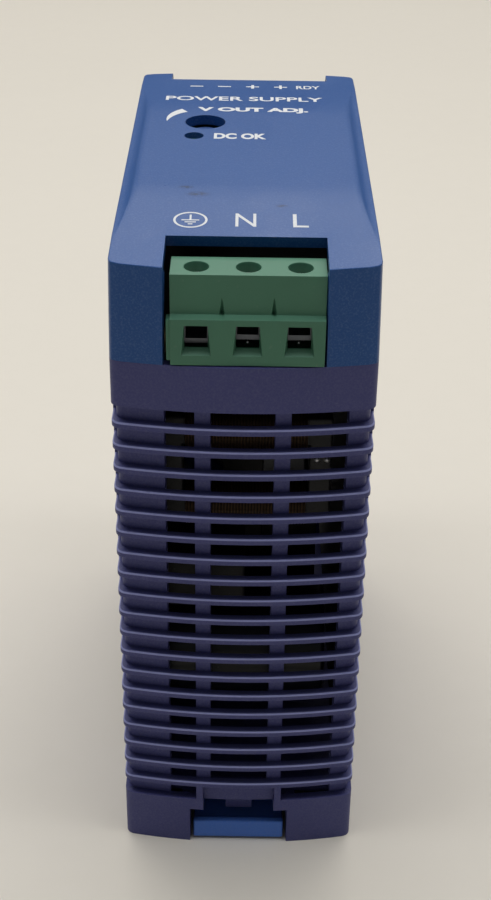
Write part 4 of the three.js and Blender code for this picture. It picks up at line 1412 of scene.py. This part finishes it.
class InnerParts(bpy.types.Operator):
    """The boards and the parts on them, seen through the louvres"""

    bl_idname = "supply.inner_parts"
    bl_label = "Inner Parts"

    def execute(self, context):
        settings = context.scene.inner_settings
        # The laminate's brown is darkened as painted shade.
        board = laminate(tuple(settings.board_shade))
        for node in ("main_board", "terminal_board"):
            softened(node + "_laminate", "root", board, node, 0.12, 1)
        black = smooth_plastic("black moulding", (0.008, 0.008, 0.009), 0.5)
        for node in ("board_link", "bridge_rectifier", "switch_transistor", "control_chip", "optocoupler",
                     "output_rectifier"):
            softened(node + "_case", "root", black, node, 0.35)
        core = ferrite()
        softened("choke_frame", "root", core, "filter_choke_core", 0.4)
        softened("transformer_frame", "root", core, "transformer_core", 0.4)
        # The tape's yellow is darkened as painted shade.
        tape = smooth_plastic("yellow tape", tuple(settings.tape_shade), 0.4)
        softened("film_capacitor", "root", black, "x_capacitor", 0.6)
        softened("transformer_coil", "root", tape, "transformer_winding", 0.3)
        # The copper is darkened as painted shade.
        copper = copper_winding("copper winding", tuple(settings.copper_shade), 0.5)
        for name in ("lower", "upper"):
            softened(f"choke_coil_{name}", "root", copper, "filter_choke_coil_" + name, 0.25)
        self.add_shade_card()
        self.add_choke_leads(plated_metal("tinned wire", (0.92, 0.92, 0.90), 0.4))
        softened("output_ring_choke", "root", copper, "output_choke", 0.8)
        # The sleeves are dark, and are darkened further as painted shade.
        sleeve = smooth_plastic("capacitor sleeve", tuple(settings.sleeve_shade), 0.3)
        for node in ("bulk_capacitor", "output_capacitor_1", "output_capacitor_2"):
            softened(node + "_can", "root", sleeve, node, 0.8, 3)
        dipped = smooth_plastic("dipped blue", (0.01, 0.03, 0.12), 0.35)
        for node in ("surge_varistor", "y_capacitor"):
            softened(node + "_disc", "root", dipped, node, 1.2, 3)
        softened("thermistor_disc", "root", black, "inrush_thermistor", 1.2, 3)
        # The aluminium is painted far darker than bare metal, as painted shade inside the case.
        metal = plated_metal("heatsink aluminium", (0.10, 0.10, 0.105), 0.45, brushed=(1, 12, 1))
        for node in ("primary_heatsink", "secondary_heatsink"):
            softened(node + "_plate", "root", metal, node, 0.2)
        softened("fuse_tube", "root", glass_tube(), "fuse", 0.3)
        return {"FINISHED"}

    def add_shade_card(self):
        """A thin matt near-black card between the parts and the side wall, as painted shade over the inside of the
        side wall seen through the louvres.
        """
        bm = bmesh.new()
        bar(bm, (16.9, 17.3), (-38.5, 38.5), (14.5, 94.5), 0.1)
        # Near black: painted shade over the side wall behind it.
        card = smooth_plastic("insulating card", (0.004, 0.004, 0.005), 0.9)
        piece(bm, "insulating_card", "root", card)

    def add_choke_leads(self, material):
        """Tinned lead ends at the front of the filter choke's frame."""
        low, high = cad_box("filter_choke_core")
        bm = bmesh.new()
        profile = [(0, 0), (0.3, -0.1), (0.5, -0.35), (0.5, -1.6), (0, -1.6)]
        for x in (high.x - 2.4, high.x - 0.8):
            turned(bm, profile, (x, low.y - 0.9, high.z - LEAD_DROP), axis="Y", steps=12)
        piece(bm, "choke_leads", "root", material)


class Stage(bpy.types.Operator):
    """The pale table, the soft light and the camera"""

    bl_idname = "supply.stage"
    bl_label = "Stage"

    # Each light with its place and target in metres, its size, its share of the set power and its colour.
    lights = (
        ("overhead", (0, 0.12, 0.95), (0, 0, 0.1), (1.2, 0.8), 0.85, (1, 0.98, 0.95)),
        ("edge strip", (0, -0.10, 0.95), (0, 0, 0.1), (1.2, 0.1), 0.25, (0.95, 0.97, 1)),
        ("window", (-0.1, 1.22, 0.99), (0, 0.05, 0.1), (2.2, 0.42), 1.45, (1, 0.97, 0.93)),
        ("front fill", (-0.3, -0.9, 0.35), (0, 0, 0.05), (0.9, 0.5), 0.02, (0.8, 0.88, 1)))

    # The camera's place in metres, and its tilt below level and its roll in degrees.
    camera_place = (0.0004, -0.2453, 0.2062)
    camera_tilt = 31.52
    camera_roll = 0.79

    def execute(self, context):
        settings = context.scene.stage_settings
        self.add_table(settings)
        for name, place, target, size, share, shade in self.lights:
            self.add_light(name, place, target, size, settings.key_power * share, shade)
        world = bpy.data.worlds.new("room")
        world.use_nodes = True
        background = world.node_tree.nodes["Background"]
        background.inputs["Color"].default_value = (0.80, 0.80, 0.78, 1)
        background.inputs["Strength"].default_value = 0.12
        context.scene.world = world
        context.scene.view_settings.view_transform = "Standard"
        self.add_camera(context, settings)
        return {"FINISHED"}

    def add_table(self, settings):
        """A wide flat table under the supply."""
        bm = bmesh.new()
        bmesh.ops.create_grid(bm, x_segments=2, y_segments=2, size=3)
        mesh = bpy.data.meshes.new("table")
        bm.to_mesh(mesh)
        bm.free()
        mesh.materials.append(table_top(tuple(settings.floor_shade)))
        table = bpy.data.objects.new("table", mesh)
        put_in_scene(table)

    def add_light(self, name, place, target, size, power, shade):
        """An oblong area light that faces its target."""
        light = bpy.data.lights.new(name, "AREA")
        light.shape = "RECTANGLE"
        light.size, light.size_y = size
        light.energy = power
        light.color = shade
        holder = bpy.data.objects.new(name, light)
        holder.location = place
        holder.rotation_euler = (Vector(target) - Vector(place)).to_track_quat("-Z", "Y").to_euler()
        put_in_scene(holder)

    def add_camera(self, context, settings):
        """A camera over the input end, looking down on the front panel."""
        camera = bpy.data.cameras.new("camera")
        camera.lens = settings.focal_length
        camera.sensor_fit = "VERTICAL"
        camera.sensor_height = 36
        camera.clip_start = 0.01
        holder = bpy.data.objects.new("camera", camera)
        pitch, roll = math.radians(90 - self.camera_tilt), math.radians(self.camera_roll)
        turn = Matrix.Rotation(pitch, 3, "X") @ Matrix.Rotation(roll, 3, "Z")
        holder.matrix_world = Matrix.Translation(self.camera_place) @ turn.to_4x4()
        put_in_scene(holder)
        context.scene.camera = holder


class SupplyPanel(bpy.types.Panel):
    """Lists the pieces of the supply and their sizes"""

    bl_idname = "VIEW3D_PT_supply"
    bl_label = "Rail Power Supply"
    bl_space_type = "VIEW_3D"
    bl_region_type = "UI"
    bl_category = "Supply"

    def draw(self, context):
        for operator in OPERATORS:
            self.layout.operator(operator.bl_idname)
        for name, group in SETTINGS.items():
            box = self.layout.box()
            box.label(text=name.replace("_", " ").capitalize())
            for prop in group.__annotations__:
                box.prop(getattr(context.scene, name), prop)


SETTINGS = {
    "case_settings": CaseSettings,
    "cover_settings": CoverSettings,
    "clip_settings": ClipSettings,
    "terminal_settings": TerminalSettings,
    "control_settings": ControlSettings,
    "inner_settings": InnerSettings,
    "stage_settings": StageSettings,
}
OPERATORS = (Stage, LouvredCase, FrontCover, PrintedMarks, RailClip, TerminalBlocks, Controls, InnerParts)


def register():
    for group in SETTINGS.values():
        bpy.utils.register_class(group)
    for name, group in SETTINGS.items():
        setattr(bpy.types.Scene, name, PointerProperty(type=group))
    for operator in OPERATORS:
        bpy.utils.register_class(operator)
    bpy.utils.register_class(SupplyPanel)


def unregister():
    bpy.utils.unregister_class(SupplyPanel)
    for operator in reversed(OPERATORS):
        bpy.utils.unregister_class(operator)
    for name, group in SETTINGS.items():
        delattr(bpy.types.Scene, name)
        bpy.utils.unregister_class(group)


def main():
    register()
    for operator in OPERATORS:
        group, name = operator.bl_idname.split(".")
        getattr(getattr(bpy.ops, group), name)()


if __name__ == "__main__":
    main()
